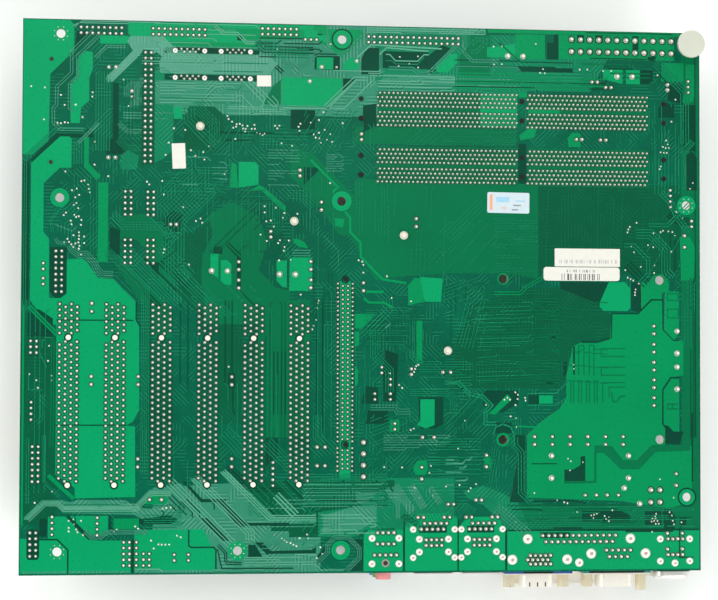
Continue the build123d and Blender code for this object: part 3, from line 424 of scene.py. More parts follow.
@dataclass(frozen=True)
class LabelPaper(Finish):
    """Coated label paper: off-white with fibre mottling and a soft sheen."""

    shade: str
    fibre_shade: str

    def shader(self, tree: Tree, place: Socket) -> Node:
        """Builds fibre mottling and a fine paper tooth.

        Args:
            tree: The material's node tree.
            place: Object coordinates in millimetres.

        Returns:
            The shader node.
        """
        fibre = add_node(tree, "TexNoise", {"Scale": 1 / 2.4, "Detail": 6.0}, {"Vector": place})
        shades = {".data_type": "RGBA", 6: linear(self.fibre_shade), 7: linear(self.shade)}
        tint = add_node(tree, "Mix", shades, {0: fibre})
        bump = add_node(tree, "Bump", {"Strength": 0.2, "Distance": 0.02 * MM}, {"Height": fibre})
        links = {"Base Color": tint.outputs[2], "Normal": bump}
        return add_node(tree, "BsdfPrincipled", {"Roughness": 0.55, "IOR": 1.45}, links)


# Wave-soldered tin alloy: pale, frosted mounds; their whitish part-metal colour is partly painted
# reflection.
SOLDER = Metal("tin_solder_wave_soldered", "D8D8CC", "A9A798", 0.4, (1.5, 1.5, 1.5), 0.5, 0.02, 0.6)
# The cut lead ends stand up out of the fillets; their near-white, barely metal colour is a painted
# highlight.
LEAD_TIP_PAINTED_HIGHLIGHT = Metal("tinned_lead_cut", "FFFFF8", "EAE8DE", 0.45, (0.6, 0.6, 0.6), 0.3, 0.01, 0.2)
# Shield lugs: a broad mound round the dull end of the folded steel lug; its near-white colour is partly
# painted reflection.
LUG_SOLDER = Metal(
    "tin_solder_broad_mound", "F6F5EE", "D6D3C8", 0.4, (1.2, 1.2, 1.2), 0.5, 0.02, 0.35
)
LUG_END = Metal("steel_lug_cut", "C9AAA2", "9E857E", 0.5, (0.5, 0.5, 0.5), 0.3, 0.01, 0.5)
# Hot-air levelled pads: thin, pinkish silver rings.
TINNED_PAD = Metal("tin_pad_hot_air_levelled", "C9BFB2", "A79D92", 0.4, (1.0, 1.0, 1.0), 0.4, 0.01)

# Epoxy mask over laminate: deep green, with fine traces just showing.
BARE_MASK = SolderMask("epoxy_mask_on_laminate", "005D43", "004A34", trace_mix=0.3)
# Over solid copper the mask is smooth and lighter, and a little yellower over the heaviest.
MASK_LIGHT = SolderMask("epoxy_mask_on_copper_pour", "048E59", "028653", 0.28, 0.004)
MASK_CLEAR = SolderMask("epoxy_mask_on_heavy_copper", "00824D", "007846", 0.28, 0.004)
MASK_MID = SolderMask("epoxy_mask_on_thin_copper", "006740", "005D3A", 0.3, 0.006)
# Over close traces it turns greyer and paler, the more so the closer they lie.
MASK_PALE = SolderMask("epoxy_mask_on_dense_traces", "338066", "28745A", 0.3, 0.004, "66A58C", 0.3)
MASK_VEIL = SolderMask("epoxy_mask_on_wide_bus", "4E8F79", "43846D", 0.3, 0.004, "74AE98", 0.22)
MASK_TRACE = SolderMask("epoxy_mask_on_traces", "5C9E84", "478F72", 0.3, 0.004)
MASK_LINE = SolderMask("epoxy_mask_on_fine_traces", "0C7450", "066A48", 0.3, 0.004, "2C9470", 0.3)
# Where no copper lies under it, it looks darkest; over an inner plane it is nearly as dark.
MASK_GAP = SolderMask("epoxy_mask_over_clearance", "004230", "003626", 0.34)
MASK_SHADE = SolderMask(
    "epoxy_mask_on_inner_plane", "005337", "004A30", 0.32, trace_shade="10704F", trace_mix=0.2
)

# Coated paper and pale film: flat and slightly mottled, with flat thin inks on them.
LABEL = LabelPaper("label_paper_coated", "D6D5CC", "CAC9C0")
STICKER = LabelPaper("label_film_pale_blue", "BFCDD2", "B2C3CA")
INK_GREY = MouldedPlastic("label_ink_grey_printed", "8A8A8E", "77777B", 0.6, 3.0, 0.3, 0.002)
INK_DARK = MouldedPlastic("label_ink_dark_printed", "5C5C60", "4C4C50", 0.6, 3.0, 0.3, 0.002)
INK_PALE = MouldedPlastic("label_ink_pale_printed", "B9B3B1", "AAA4A2", 0.6, 3.0, 0.3, 0.002)
INK_ORANGE = MouldedPlastic("label_ink_orange_stamped", "E0A184", "D68F70", 0.6, 3.0, 0.3, 0.002)
INK_BLUE = MouldedPlastic("label_ink_blue_stamped", "9AC4D4", "86B2C8", 0.6, 3.0, 0.3, 0.002)

# Moulded nylon: waxy and a little translucent, greenish grey in its natural state.
NYLON = MouldedPlastic("nylon_natural_moulded", "C4C7B9", "B7B9AA", 0.42, 9.0, 0.5, 0.02, 0.15)
PUSH_NYLON = MouldedPlastic("nylon_white_moulded", "DDD9C9", "CBC6B4", 0.4, 5.0, 0.5, 0.02, 0.15)
# Glass-filled polyester: even, half-matt bodies of slots and sockets.
SLOT_PBT = MouldedPlastic("polyester_white_moulded", "E9E0D2", "DBD1C1", 0.4, 12.0, 0.5, 0.02)
BLACK_PBT = MouldedPlastic(
    "polyester_black_moulded", "1C1D20", "131416", 0.42, 9.0, 0.5, 0.02, gloss_level=0.25
)
LATCH_PBT = MouldedPlastic("polyester_latch_moulded", "E8E8E2", "D6D6CE", 0.38, 6.0, 0.5, 0.02)
# Liquid crystal polymer: duller, with visible flow marks.
CREAM_LCP = MouldedPlastic(
    "liquid_crystal_polymer_moulded", "C9BFA6", "B8AD92", 0.48, 3.0, 0.5, 0.02
)
BLACK_LCP = MouldedPlastic("liquid_crystal_polymer_black", "1D1E20", "141516", 0.46, 5.0, 0.5, 0.02)
# Dyed ABS sleeves of the sound jacks: smooth and clear in colour.
PINK = MouldedPlastic("abs_pink_moulded", "EE9C9C", "E28B8C", 0.4, 5.0, 0.5, 0.015)
LINE_SLEEVES = HeightSplit(
    "abs_green_and_blue_moulded",
    near=MouldedPlastic("abs_green_moulded", "86C25A", "75B24B", 0.4, 5.0, 0.5, 0.015),
    far=MouldedPlastic("abs_sky_blue_moulded", "5BA6DC", "4B96CE", 0.4, 5.0, 0.5, 0.015),
    split_mm=-24.3,
)
# Dyed polyester inserts of the D-shaped ports: strong colours with a soft sheen.
BLUE = MouldedPlastic("polyester_blue_moulded", "2450A6", "1C4492", 0.42, 6.0, 0.5, 0.015)
TEAL = MouldedPlastic("polyester_teal_moulded", "1B8E86", "147D76", 0.42, 6.0, 0.5, 0.015)
BURGUNDY = MouldedPlastic("polyester_burgundy_moulded", "7A1E3C", "6A1631", 0.42, 6.0, 0.5, 0.015)
# Epoxy compound of chips: matt dark grey; the chip carriers are smooth green laminate.
EPOXY = MouldedPlastic("epoxy_compound_moulded", "2B2B2C", "1F1F20", 0.55, 3.0, 0.35, 0.02)
SUBSTRATE = MouldedPlastic("chip_substrate_green", "1B5A3A", "124A2E", 0.4, 4.0, 0.6, 0.008)

# Tinned sheet: rolling streaks along its length; its near-white part-metal colour is a painted reflection
# of the white room.
TIN_SHEET = Metal("tinned_sheet_pressed", "EDEDE8", "D2D2CC", 0.3, (0.9, 9.0, 9.0), 0.5, 0.008, 0.6)
# Nickel plate: warm, with turning marks round the screws; the pale low-metal colours are a painted
# reflection of the white room.
NICKEL = Metal("nickel_plate_pressed", "F8F5EC", "E6E1D4", 0.28, (3.0, 3.0, 3.0), 0.5, 0.006, 0.35)
SCREW = Metal("nickel_plate_turned_bar", "EFE7CE", "D6CCAC", 0.28, (0.7, 4.0, 0.7), 0.3, 0.01, 0.5)
# Plated and spring steel: cooler, brushed one way by rolling or drawing.
STEEL = Metal("nickel_plated_steel_pressed", "C6C7C8", "9EA0A2", 0.26, (1.0, 12.0, 12.0), 0.5, 0.008)
LEVER = Metal("plated_steel_wire_bent", "D2D3D4", "A9ABAD", 0.2, (8.0, 1.0, 1.0), 0.4, 0.006)
SPRING = Metal("spring_steel_wire_coiled", "B4B5B8", "85878B", 0.28, (1.0, 1.0, 1.0), 0.3, 0.006)
CELL = Metal("stainless_steel_cell_pressed", "D0D0D0", "ABABAB", 0.25, (5.0, 0.8, 5.0), 0.4, 0.006)
# Aluminium: grey with long die lines on the extrusions, paler and finer on the drawn cans.
SINK = Metal("aluminium_extruded_anodised", "9DA0A4", "7F8286", 0.42, (0.7, 14.0, 5.0), 0.4, 0.012)
CAN = Metal("aluminium_can_drawn", "C8C9CB", "A3A5A8", 0.3, (1.2, 1.2, 6.0), 0.4, 0.008)
# Gold plate: a thin warm shine on pins and contacts.
GOLD = Metal("gold_plate_on_bronze", "E3BE6E", "C39C4C", 0.25, (2.0, 2.0, 2.0), 0.3, 0.005)
# Shrunk sleeves: glossy and near black, with a flat pale stripe; the bung under them is dull.
SLEEVE = MouldedPlastic("pvc_sleeve_shrunk_on", "2A2A33", "1F1F27", 0.3, 6.0, 0.6, 0.006)
STRIPE = MouldedPlastic("pvc_sleeve_printed_stripe", "A9ABAE", "96989C", 0.4, 3.0, 0.5, 0.004)
RUBBER = MouldedPlastic("butyl_rubber_bung_moulded", "1A1A1A", "121212", 0.7, 2.0, 0.4, 0.02)
# Coated iron powder: rough dark green cores under glossy orange-brown enamelled wire.
CORE = MouldedPlastic("iron_powder_core_coated", "3B4A3C", "2E3B30", 0.6, 2.0, 0.25, 0.03)
ENAMEL = Metal("copper_wire_enamelled", "C2703E", "9A4E28", 0.24, (1.2, 1.2, 1.2), 0.4, 0.004)
# Headers: a black strip with gold-plated pins standing out of it.
HEADER = HeightSplit("header_strip_and_pins", near=BLACK_PBT, far=GOLD, split_mm=-4.1)

NODES_BY_FINISH: list[tuple[Finish, str]] = [
    (BARE_MASK, "circuit_board"),
    (NYLON, "corner_standoff atx_power_connector cpu_power_connector drive_power_connector"),
    (SOLDER, "solder_joints"),
    (SLOT_PBT, " ".join(f"pci_slot_{k + 1}" for k in range(SLOTS))),
    (BLACK_PBT, "pcie_slot dimm_socket_1 dimm_socket_2 dimm_socket_3 dimm_socket_4"),
    (BLACK_PBT, "ide_connector floppy_connector audio_stack lan_usb_inserts d_sub_housing"),
    (BLACK_PBT, "ps2_housing coin_cell_holder"),
    (CREAM_LCP, "cpu_socket_body"),
    (STEEL, "cpu_socket_frame cpu_load_plate"),
    (LEVER, "cpu_load_lever"),
    (SUBSTRATE, "northbridge_chip southbridge_chip"),
    (SINK, "northbridge_heatsink southbridge_heatsink"),
    (PUSH_NYLON, "heatsink_push_pins"),
    (SPRING, "heatsink_springs"),
    (BLACK_LCP, "sata_connectors card_socket"),
    (HEADER, "pin_headers"),
    (PINK, "mic_jack_sleeve"),
    (LINE_SLEEVES, "line_jack_sleeves"),
    (TIN_SHEET, "lan_usb_shield_1 lan_usb_shield_2 ps2_shield"),
    (NICKEL, "d_sub_shells"),
    (BURGUNDY, "parallel_port_insert"),
    (BLUE, "vga_port_insert"),
    (TEAL, "serial_port_insert"),
    (SCREW, "jack_screws"),
    (CAN, "capacitors"),
    (EPOXY, "power_chokes power_transistors logic_chips"),
    (CELL, "coin_cell"),
]
NODE_FINISHES = {name: finish for finish, names in NODES_BY_FINISH for name in names.split()}


def dress_nodes(nodes: dict[str, bpy.types.Object]) -> None:
    """Gives every CAD node its finish.

    Args:
        nodes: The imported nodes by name.
    """
    for name, node in nodes.items():
        finish = LATCH_PBT if name.startswith("dimm_latch") else NODE_FINISHES[name]
        node.data.materials.clear()
        node.data.materials.append(finish.make())


# ---- Mesh building ------------------------------------------------------------------------
@dataclass
class Board:
    """The circuit board's place, so that other pieces can be given in board millimetres."""

    left: float
    rear: float
    top: float
    body: str

    @classmethod
    def from_frame(cls, frame: dict) -> "Board":
        """Reads the board's corner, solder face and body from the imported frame.


        Returns:
            The board's place.
        """
        low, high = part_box("circuit_board")
        body = frame["nodes"]["circuit_board"]["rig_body"]
        return cls(low.x, low.y, high.z, body)

    def at(self, point: Point3) -> Point3:
        """Returns a point of board millimetres in the row frame, in metres."""
        x, y, z = point
        return (self.left + x * MM, self.rear + y * MM, self.top + z * MM)


class Shape:
    """Faces collected in board millimetres, which become one object."""

    def __init__(self, name: str, *finishes: Finish) -> None:
        """Starts an empty shape.

        Args:
            name: The name of the object that it becomes.
            finishes: The finishes in slot order.
        """
        self.name = name
        self.finishes = finishes
        self.points: list[Point3] = []
        self.faces: list[tuple[int, ...]] = []
        self.slots: list[int] = []

    def add(self, points: list[Point3], faces: list[tuple[int, ...]], slot: int = 0) -> None:
        """Adds points and the faces between them.

        Args:
            points: Corners of the faces.
            faces: Indices into the points.
            slot: Finish slot.
        """
        first = len(self.points)
        self.points += points
        self.faces += [tuple(first + i for i in face) for face in faces]
        self.slots += [slot] * len(faces)

    def prism(self, corners: list[Point2], z0: float, z1: float, slot: int = 0) -> None:
        """Adds an upright prism between two heights.

        Args:
            corners: Outline in plan, anticlockwise.
            z0: Lower height.
            z1: Upper height.
            slot: Finish slot.
        """
        n = len(corners)
        points = [(x, y, z0) for x, y in corners] + [(x, y, z1) for x, y in corners]
        sides = [(i, (i + 1) % n, n + (i + 1) % n, n + i) for i in range(n)]
        self.add(points, [tuple(range(n - 1, -1, -1)), tuple(range(n, 2 * n)), *sides], slot)

    def sheet(self, corners: list[Point2], z: float, slot: int = 0) -> None:
        """Adds a thin film with the board's through holes cut out of it.

        Args:
            corners: Outline in plan, anticlockwise.
            z: Height of the film's face.
            slot: Finish slot.
        """
        holes = [disc(x, y, r + 0.12, 20) for x, y, r in THROUGH_HOLES if inside(x, y, corners)]
        loops = [corners, *holes]
        flat = [Vector((x, y, z)) for loop in loops for x, y in loop]
        faces = tessellate_polygon([[Vector((x, y, 0.0)) for x, y in loop] for loop in loops])
        upward = []
        for a, b, c in faces:
            turn = (flat[b] - flat[a]).cross(flat[c] - flat[a]).z
            upward.append((a, b, c) if turn > 0 else (a, c, b))
        self.add([tuple(v) for v in flat], upward, slot)
        n = len(corners)
        rim = [(x, y, z) for x, y in corners] + [(x, y, 0.0) for x, y in corners]
        self.add(rim, [(i, n + i, n + (i + 1) % n, (i + 1) % n) for i in range(n)], slot)

    def ring(self, x: float, y: float, inner: float, outer: float, z: float, slot: int = 0) -> None:
        """Adds a flat ring, such as the pad round a mounting hole.

        Args:
            x: Centre across the board.
            y: Centre along the board.
            inner: Inner radius.
            outer: Outer radius.
            z: Height of the ring's face.
            slot: Finish slot.
        """
        sides = 32
        points = [(px, py, z) for r in (inner, outer) for px, py in disc(x, y, r, sides)]
        faces = [(k, sides + k, sides + (k + 1) % sides, (k + 1) % sides) for k in range(sides)]
        self.add(points, faces, slot)

    def lathe(
        self,
        centre: Point3,
        profile: list[Point2],
        sides: int,
        slot: int = 0,
        axis: str = "z",
        turn: float = 0.0,
    ) -> None:
        """Adds a turned form; a profile point is (radius, distance along the axis).

        Args:
            centre: Origin of the axis.
            profile: Points from the foot outwards; a radius of zero closes the form.
            sides: Facets round the axis.
            slot: Finish slot.
            axis: "z" up, or "y" along the board.
            turn: First facet's angle in radians.
        """
        rings: list[list[int]] = []
        points: list[Point3] = []
        cx, cy, cz = centre
        for radius, along in profile:
            first = len(points)
            for k in range(1 if radius == 0 else sides):
                angle = turn + 2 * math.pi * k / sides
                u, v = radius * math.cos(angle), radius * math.sin(angle)
                upright = axis == "z"
                points.append((cx + u, cy + v, cz + along) if upright else (cx + u, cy + along, cz - v))
            rings.append(list(range(first, len(points))))
        faces: list[tuple[int, ...]] = []
        for low, high in zip(rings, rings[1:]):
            for k in range(sides):
                a, b = low[k % len(low)], low[(k + 1) % len(low)]
                c, d = high[(k + 1) % len(high)], high[k % len(high)]
                face = tuple(dict.fromkeys((a, b, c, d)))
                if len(face) > 2:
                    faces.append(face)
        self.add(points, faces, slot)

    def ribbon(self, path: list[Point2], width: float, z: float, slot: int = 0) -> None:
        """Adds a flat strip along a path with mitred bends.

        Args:
            path: Points in plan.
            width: Strip width.
            z: Height of its top face.
            slot: Finish slot.
        """
        left, right = shifted(path, width / 2), shifted(path, -width / 2)
        n = len(path)
        points = [(x, y, z) for x, y in left] + [(x, y, z) for x, y in right]
        self.add(points, [(i, n + i, n + i + 1, i + 1) for i in range(n - 1)], slot)

    def build(self, board: Board, smooth: float | None = None) -> bpy.types.Object:
        """Makes the object and rides it on the board.

        Args:
            board: The board that the points refer to.
            smooth: Sharp-edge angle in degrees, or None for flat faces.

        Returns:
            The new object.
        """
        mesh = bpy.data.meshes.new(self.name)
        mesh.from_pydata([board.at(p) for p in self.points], [], self.faces)
        for finish in self.finishes:
            mesh.materials.append(finish.make())
        mesh.polygons.foreach_set("material_index", self.slots)
        if smooth is not None:
            mesh.polygons.foreach_set("use_smooth", [True] * len(mesh.polygons))
            mesh.set_sharp_from_angle(angle=math.radians(smooth))
        mesh.validate()
        made = bpy.data.objects.new(self.name, mesh)
        bpy.context.scene.collection.objects.link(made)
        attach(made, board.body)
        LOG.info("%s: %d faces", self.name, len(mesh.polygons))
        return made


def shifted(path: list[Point2], distance: float) -> list[Point2]:
    """Moves a path sideways, with mitred corners.

    Args:
        path: Points in plan.
        distance: How far to the left of the path's direction.

    Returns:
        The moved path.
    """
    moved = []
    last = len(path) - 1
    for i, (x, y) in enumerate(path):
        ax, ay = path[max(i - 1, 0)]
        bx, by = path[min(i + 1, last)]
        into = Vector((x - ax, y - ay)) if i > 0 else Vector((bx - x, by - y))
        out = Vector((bx - x, by - y)) if i < last else into
        into.normalize()
        out.normalize()
        across = Vector((-into.y - out.y, into.x + out.x))
        across.normalize()
        stretch = distance / max(0.4, across.dot(Vector((-into.y, into.x))))
        moved.append((x + across.x * stretch, y + across.y * stretch))
    return moved


def outline(text: str) -> list[Point2]:
    """Reads corners written as "x,y x,y" in board millimetres."""
    return [(float(a), float(b)) for a, b in (pair.split(",") for pair in text.split())]


def inside(x: float, y: float, corners: list[Point2]) -> bool:
    """Tells whether a point lies inside an outline.

    Args:
        x: The point's first coordinate.
        y: The point's second coordinate.
        corners: The outline.

    Returns:
        True where it does.
    """
    hit = False
    for (ax, ay), (bx, by) in zip(corners, corners[1:] + corners[:1]):
        if (ay > y) != (by > y) and x < (bx - ax) * (y - ay) / (by - ay) + ax:
            hit = not hit
    return hit


def side_of(a: Point2, b: Point2, c: Point2) -> float:
    """Returns a positive number where c lies to the left of the line from a to b."""
    return (b[0] - a[0]) * (c[1] - a[1]) - (b[1] - a[1]) * (c[0] - a[0])


def share_ground(one: list[Point2], other: list[Point2]) -> bool:
    """Tells whether two outlines overlap or touch.

    Args:
        one: Corners of the first.
        other: Corners of the second.

    Returns:
        True where they do.
    """
    for axis in (0, 1):
        a, b = [p[axis] for p in one], [p[axis] for p in other]
        if max(a) < min(b) or max(b) < min(a):
            return False
    if any(inside(*p, other) for p in one) or any(inside(*p, one) for p in other):
        return True
    return any(
        side_of(a, b, c) * side_of(a, b, d) <= 0 and side_of(c, d, a) * side_of(c, d, b) <= 0
        for a, b in zip(one, one[1:] + one[:1])
        for c, d in zip(other, other[1:] + other[:1])
    )


def box_outline(x0: float, y0: float, x1: float, y1: float) -> list[Point2]:
    """Returns a rectangle's outline."""
    return [(x0, y0), (x1, y0), (x1, y1), (x0, y1)]


def disc(x: float, y: float, r: float, sides: int) -> list[Point2]:
    """Returns a round outline."""
    steps = [2 * math.pi * k / sides for k in range(sides)]
    return [(x + r * math.cos(a), y + r * math.sin(a)) for a in steps]


def tube(shape: Shape, path: list[Point3], r: float, sides: int, slot: int) -> None:
    """Adds a round tube along a path of points.

    Args:
        shape: The shape that receives the faces.
        path: Centre line.
        r: Tube radius.
        sides: Facets round the tube.
        slot: Finish slot.
    """
    points: list[Point3] = []
    spine = [Vector(p) for p in path]
    last = len(spine) - 1
    across = None
    for i, here in enumerate(spine):
        along = (spine[min(i + 1, last)] - spine[max(i - 1, 0)]).normalized()
        if across is None:
            across = along.orthogonal().normalized()
        across = (across - along * across.dot(along)).normalized()
        third = along.cross(across)
        for k in range(sides):
            a = 2 * math.pi * k / sides
            points.append(tuple(here + (across * math.cos(a) + third * math.sin(a)) * r))
    faces: list[tuple[int, ...]] = [tuple(range(sides - 1, -1, -1))]
    for i in range(last):
        for k in range(sides):
            a, b = i * sides + k, i * sides + (k + 1) % sides
            faces.append((a, b, b + sides, a + sides))
    faces.append(tuple(range(last * sides, (last + 1) * sides)))
    shape.add(points, faces, slot)


# ---- Solder joints ------------------------------------------------------------------------
class Joint(Enum):
    """Kinds of soldered lead: fillet radius, height, lead radius, facets."""

    PIN = (0.78, 1.0, 0.30, 9)
    MEMORY = (0.66, 0.85, 0.24, 8)
    LANE = (0.62, 0.85, 0.22, 8)
    LEAD = (0.92, 1.0, 0.36, 10)
    SMALL = (0.62, 0.8, 0.24, 8)
    POWER = (1.3, 1.25, 0.52, 12)
    COIL = (1.35, 1.35, 0.62, 12)
    HEADER = (0.80, 0.75, 0.34, 8)
    SQUARE = (0.80, 0.85, 0.32, 4)
    VIA = (0.42, 0.16, 0.12, 7)


@dataclass(frozen=True)
class Run:
    """A straight run of equal joints."""

    x: float
    y: float
    count: int = 1
    dx: float = 0.0
    dy: float = 0.0
    skip: tuple[int, ...] = ()

    def spots(self) -> list[Point2]:
        """Returns the joints' centres."""
        kept = [k for k in range(self.count) if k not in self.skip]
        return [(self.x + self.dx * k, self.y + self.dy * k) for k in kept]


@dataclass
class JointField:
    """One connector family's joints on the solder face."""

    name: str
    kind: Joint
    runs: list[Run]
    clearance: float
    # Width of the dark ring round each fillet: copper gap and painted shadow of the mound.
    seed: int
    foot: float = 0.03  # height of the fillets' rims over the solder face
    ring_height: float = 0.15

    def build(self, board: Board) -> list[bpy.types.Object]:
        """Builds fillets, cut leads with a painted highlight, and dark rings of copper gap and painted
        shadow.

        Args:
            board: The board that carries them.

        Returns:
            The new objects.
        """
        radius, height, lead, sides = self.kind.value
        dice = random.Random(self.seed)
        mounds = Shape(self.name, SOLDER, LEAD_TIP_PAINTED_HIGHLIGHT)
        rings = Shape(self.name + "_clearances", MASK_GAP)
        for run in self.runs:
            for x, y in run.spots():
                tall = height * dice.uniform(0.85, 1.12)
                wide = radius * dice.uniform(0.95, 1.05)
                lean = (dice.uniform(-0.05, 0.05), dice.uniform(-0.05, 0.05))
                fillet = [
                    (wide, self.foot),
                    (wide * 0.86, self.foot + tall * 0.16),
                    (wide * 0.66, self.foot + tall * 0.42),
                    (lead * 1.25, self.foot + tall * 0.78),
                    (lead, self.foot + tall),
                ]
                turn = math.pi / 4 if self.kind is Joint.SQUARE else dice.uniform(0, 1)
                mounds.lathe((x, y, 0.0), fillet, sides, 0, turn=turn)
                tip = (x + lean[0], y + lean[1], self.foot + tall)
                mounds.lathe(tip, [(lead, 0.0), (lead * 0.7, 0.06), (0, 0.07)], sides, 1, turn=turn)
                # Each dark ring is partly the gap in the copper round the pad and partly painted shadow of
                # the mound.
                if self.clearance:
                    rings.sheet(disc(x, y, wide + self.clearance, 10), self.ring_height)
        made = [mounds.build(board, 50)]
        if self.clearance:
            made.append(rings.build(board))
        return made


def pci_runs() -> list[Run]:
    """Lists the four staggered columns of each of the six PCI slots.

    Returns:
        The runs.
    """
    runs = []
    for slot in range(SLOTS):
        x = FIRST_SLOT_X + SLOT_PITCH * slot
        runs += [Run(x + dx, 118.4, 31, 0, -PITCH, (6,)) for dx in (-3.81, 1.27)]
        runs += [Run(x + dx, 117.1, 31, 0, -PITCH, (5,)) for dx in (-1.27, 3.81)]
    return runs


def memory_runs() -> list[Run]:
    """Lists the four rows of each of the four memory sockets.

    Returns:
        The runs.
    """
    runs = []
    for y in (211.0, 202.3, 185.65, 177.0):
        for dy, start in ((2.9, 158.1), (0.95, 157.1), (-0.95, 158.1), (-2.85, 157.1)):
            runs.append(Run(start, y + dy, 32, 2.0))
            runs.append(Run(start + 68.1, y + dy, 28, 2.0))
    return runs


def lane_runs() -> list[Run]:
    """Lists the four columns of the sixteen-lane slot.

    Returns:
        The runs.
    """
    runs = []
    for x, lag in ((139.4, 0.0), (141.6, 1.0), (143.9, 1.0), (146.0, 0.0)):
        runs.append(Run(x, 128.3 - lag, 36 if lag == 0 else 35, 0, -2.0))
        runs.append(Run(x, 55.3 - lag, 6 if lag == 0 else 5, 0, -2.0))
    return runs


def header_runs() -> list[Run]:
    """Lists the pin headers' rows and columns: first pin, pins across, pins along.

    Returns:
        The runs.
    """
    runs = []
    for x, y, nx, ny in (
        *((25.3, 237.95, 8, 2), (56.9, 238.0, 10, 2), (105.25, 239.05, 7, 2), (124.45, 237.1, 3, 1)),
        *((45.1, 158.05, 2, 5), (55.0, 157.95, 2, 5), (45.1, 136.7, 2, 5), (55.0, 136.7, 2, 5)),
        *((15.05, 123.85, 2, 8), (9.6, 127.1, 1, 2), (9.6, 133.7, 1, 2), (4.4, 97.05, 2, 3)),
        *((4.8, 67.8, 1, 4), (5.5, 40.8, 2, 7), (4.75, 8.4, 2, 5), (14.25, 17.8, 1, 4)),
        *((33.8, 17.4, 1, 4), (45.4, 4.1, 2, 5), (50.95, 4.1, 1, 5), (54.05, 4.1, 2, 3)),
        *((67.5, 6.15, 1, 2), (73.7, 6.15, 1, 2), (110.75, 38.8, 1, 5), (299.5, 216.6, 1, 3)),
        *((291.1, 164.3, 1, 4), (301.0, 155.5, 1, 2), (159.2, 88.7, 1, 2), (163.1, 83.4, 1, 2)),
        *((156.1, 76.9, 1, 2), (163.1, 76.9, 1, 2), (165.1, 63.6, 1, 2)),
    ):
        runs += [Run(x + PITCH * k, y, ny, 0, PITCH) for k in range(nx)]
    runs += [Run(53.6 + 2.5 * k, 181.6, 20, 0, PITCH) for k in range(2)]
    runs += [Run(152.9, y, 17, PITCH) for y in (236.5, 239.0)]
    return runs


def rear_runs() -> list[Run]:
    """Lists the signal pins of the rear ports.

    Returns:
        The runs.
    """
    runs = [Run(157.4, y, 4, 2.47) for y in (17.75, 12.8)] + [Run(156.1, 7.9, 5, 2.47)]
    for x in NETWORK_X:
        runs += [Run(x - 7.2, 24.5, 2, 2.5), Run(x + 4.6, 24.5, 2, 2.5)]
        runs += [Run(x - 4.3, 21.8, 5, 2.5), Run(x - 5.7, 19.2, 5, 2.5)]
        runs += [Run(x - 3.5, y, 4, 2.33) for y in (14.5, 12.0)]
    runs += [Run(232.1, 16.1, 13, 2.775), Run(233.5, 13.3, 12, 2.775)]
    runs += [Run(226.5, 7.25, 5, 2.3), Run(225.25, 5.3, 5, 2.3), Run(226.5, 3.4, 5, 2.3)]
    runs += [Run(261.25, 9.4, 5, 2.75), Run(262.6, 6.5, 4, 2.75)]
    for y in (14.3, 7.2):
        runs += [Run(289.6, y, 4, 2.27), Run(289.4, y + 2.5, 2, 6.85)]
    return runs


def power_runs() -> list[Run]:
    """Lists the pins of the three power connectors.

    Returns:
        The runs.
    """
    runs = [Run(245.4, y, 12, 4.2) for y in (234.25, 239.75)]
    runs += [Run(281.8, y, 2, 4.2) for y in (30.85, 36.35)]
    return runs + [Run(151.1, 42.6, 4, 0, 5.07)]


def coil_runs() -> list[Run]:
    """Lists the leads of the chokes.

    Returns:
        The runs.
    """
    runs = [Run(x, y - 5, 2, 0, 10) for x, y in LARGE_CHOKES]
    x, y = TURNED_CHOKE
    runs.append(Run(x - 3.54, y + 3.54, 2, 7.07, -7.07))
    return runs + [Run(x - 3.5, y, 2, 7) for x, y in LYING_CHOKES]


@dataclass(frozen=True)
class CanSpot:
    """One electrolytic capacitor: centre, can radius, height, half lead pitch, lead direction."""

    x: float
    y: float
    r: float = 3.95
    tall: float = 11.5
    half: float = 1.75
    along_x: bool = False

    def leads(self) -> Run:
        """Returns the pair of leads."""
        if self.along_x:
            return Run(self.x - self.half, self.y, 2, 2 * self.half)
        return Run(self.x, self.y - self.half, 2, 0, 2 * self.half)


def capacitor_spots() -> list[CanSpot]:
    """Lists every capacitor of the component side.

    Returns:
        The capacitors.
    """
    cans = [CanSpot(228.4 + 8.12 * k, 58.6) for k in range(6)]
    cans += [CanSpot(283.3, y) for y in (108.5, 100.25, 92.15, 84.2, 76.15)]
    upright = "95.25,135.9 95.25,127.75 127.3,136.3 127.3,128.15 30.8,85 51.3,85 92.4,85 "
    upright += "51.3,48.9 92.5,48.9 30.8,117 150.9,127 131.9,162.8 174.6,155.9"
    cans += [CanSpot(x, y) for x, y in outline(upright)]
    cans += [CanSpot(x, y, along_x=True) for x, y in outline("132.15,55.75 132.15,47.5 188.5,89.1")]
    cans += [CanSpot(x, y, half=2.6, along_x=True) for x, y in outline("59.2,32.8 180.2,60.1")]
    wide = outline("177.25,44.15 206.5,49.5 293.5,41 297.6,148.7")
    cans += [CanSpot(x, y, half=2.6) for x, y in wide]
    cans += [CanSpot(x, 34.1, 2.9, 9.0, 2.6, True) for x in (254.1, 264.2)]
    small = outline("256.1,220.6 262.4,218.2 248.9,194.4 260,194.3 66.35,153.9 190.4,30.25 203,32.1")
    cans += [CanSpot(x, y, 2.9, 9.0, 1.25, True) for x, y in small]
    small = outline("149.8,194 109.4,150 122.3,177.4 172.5,89.3")
    return cans + [CanSpot(x, y, 2.9, 9.0, 1.25) for x, y in small]


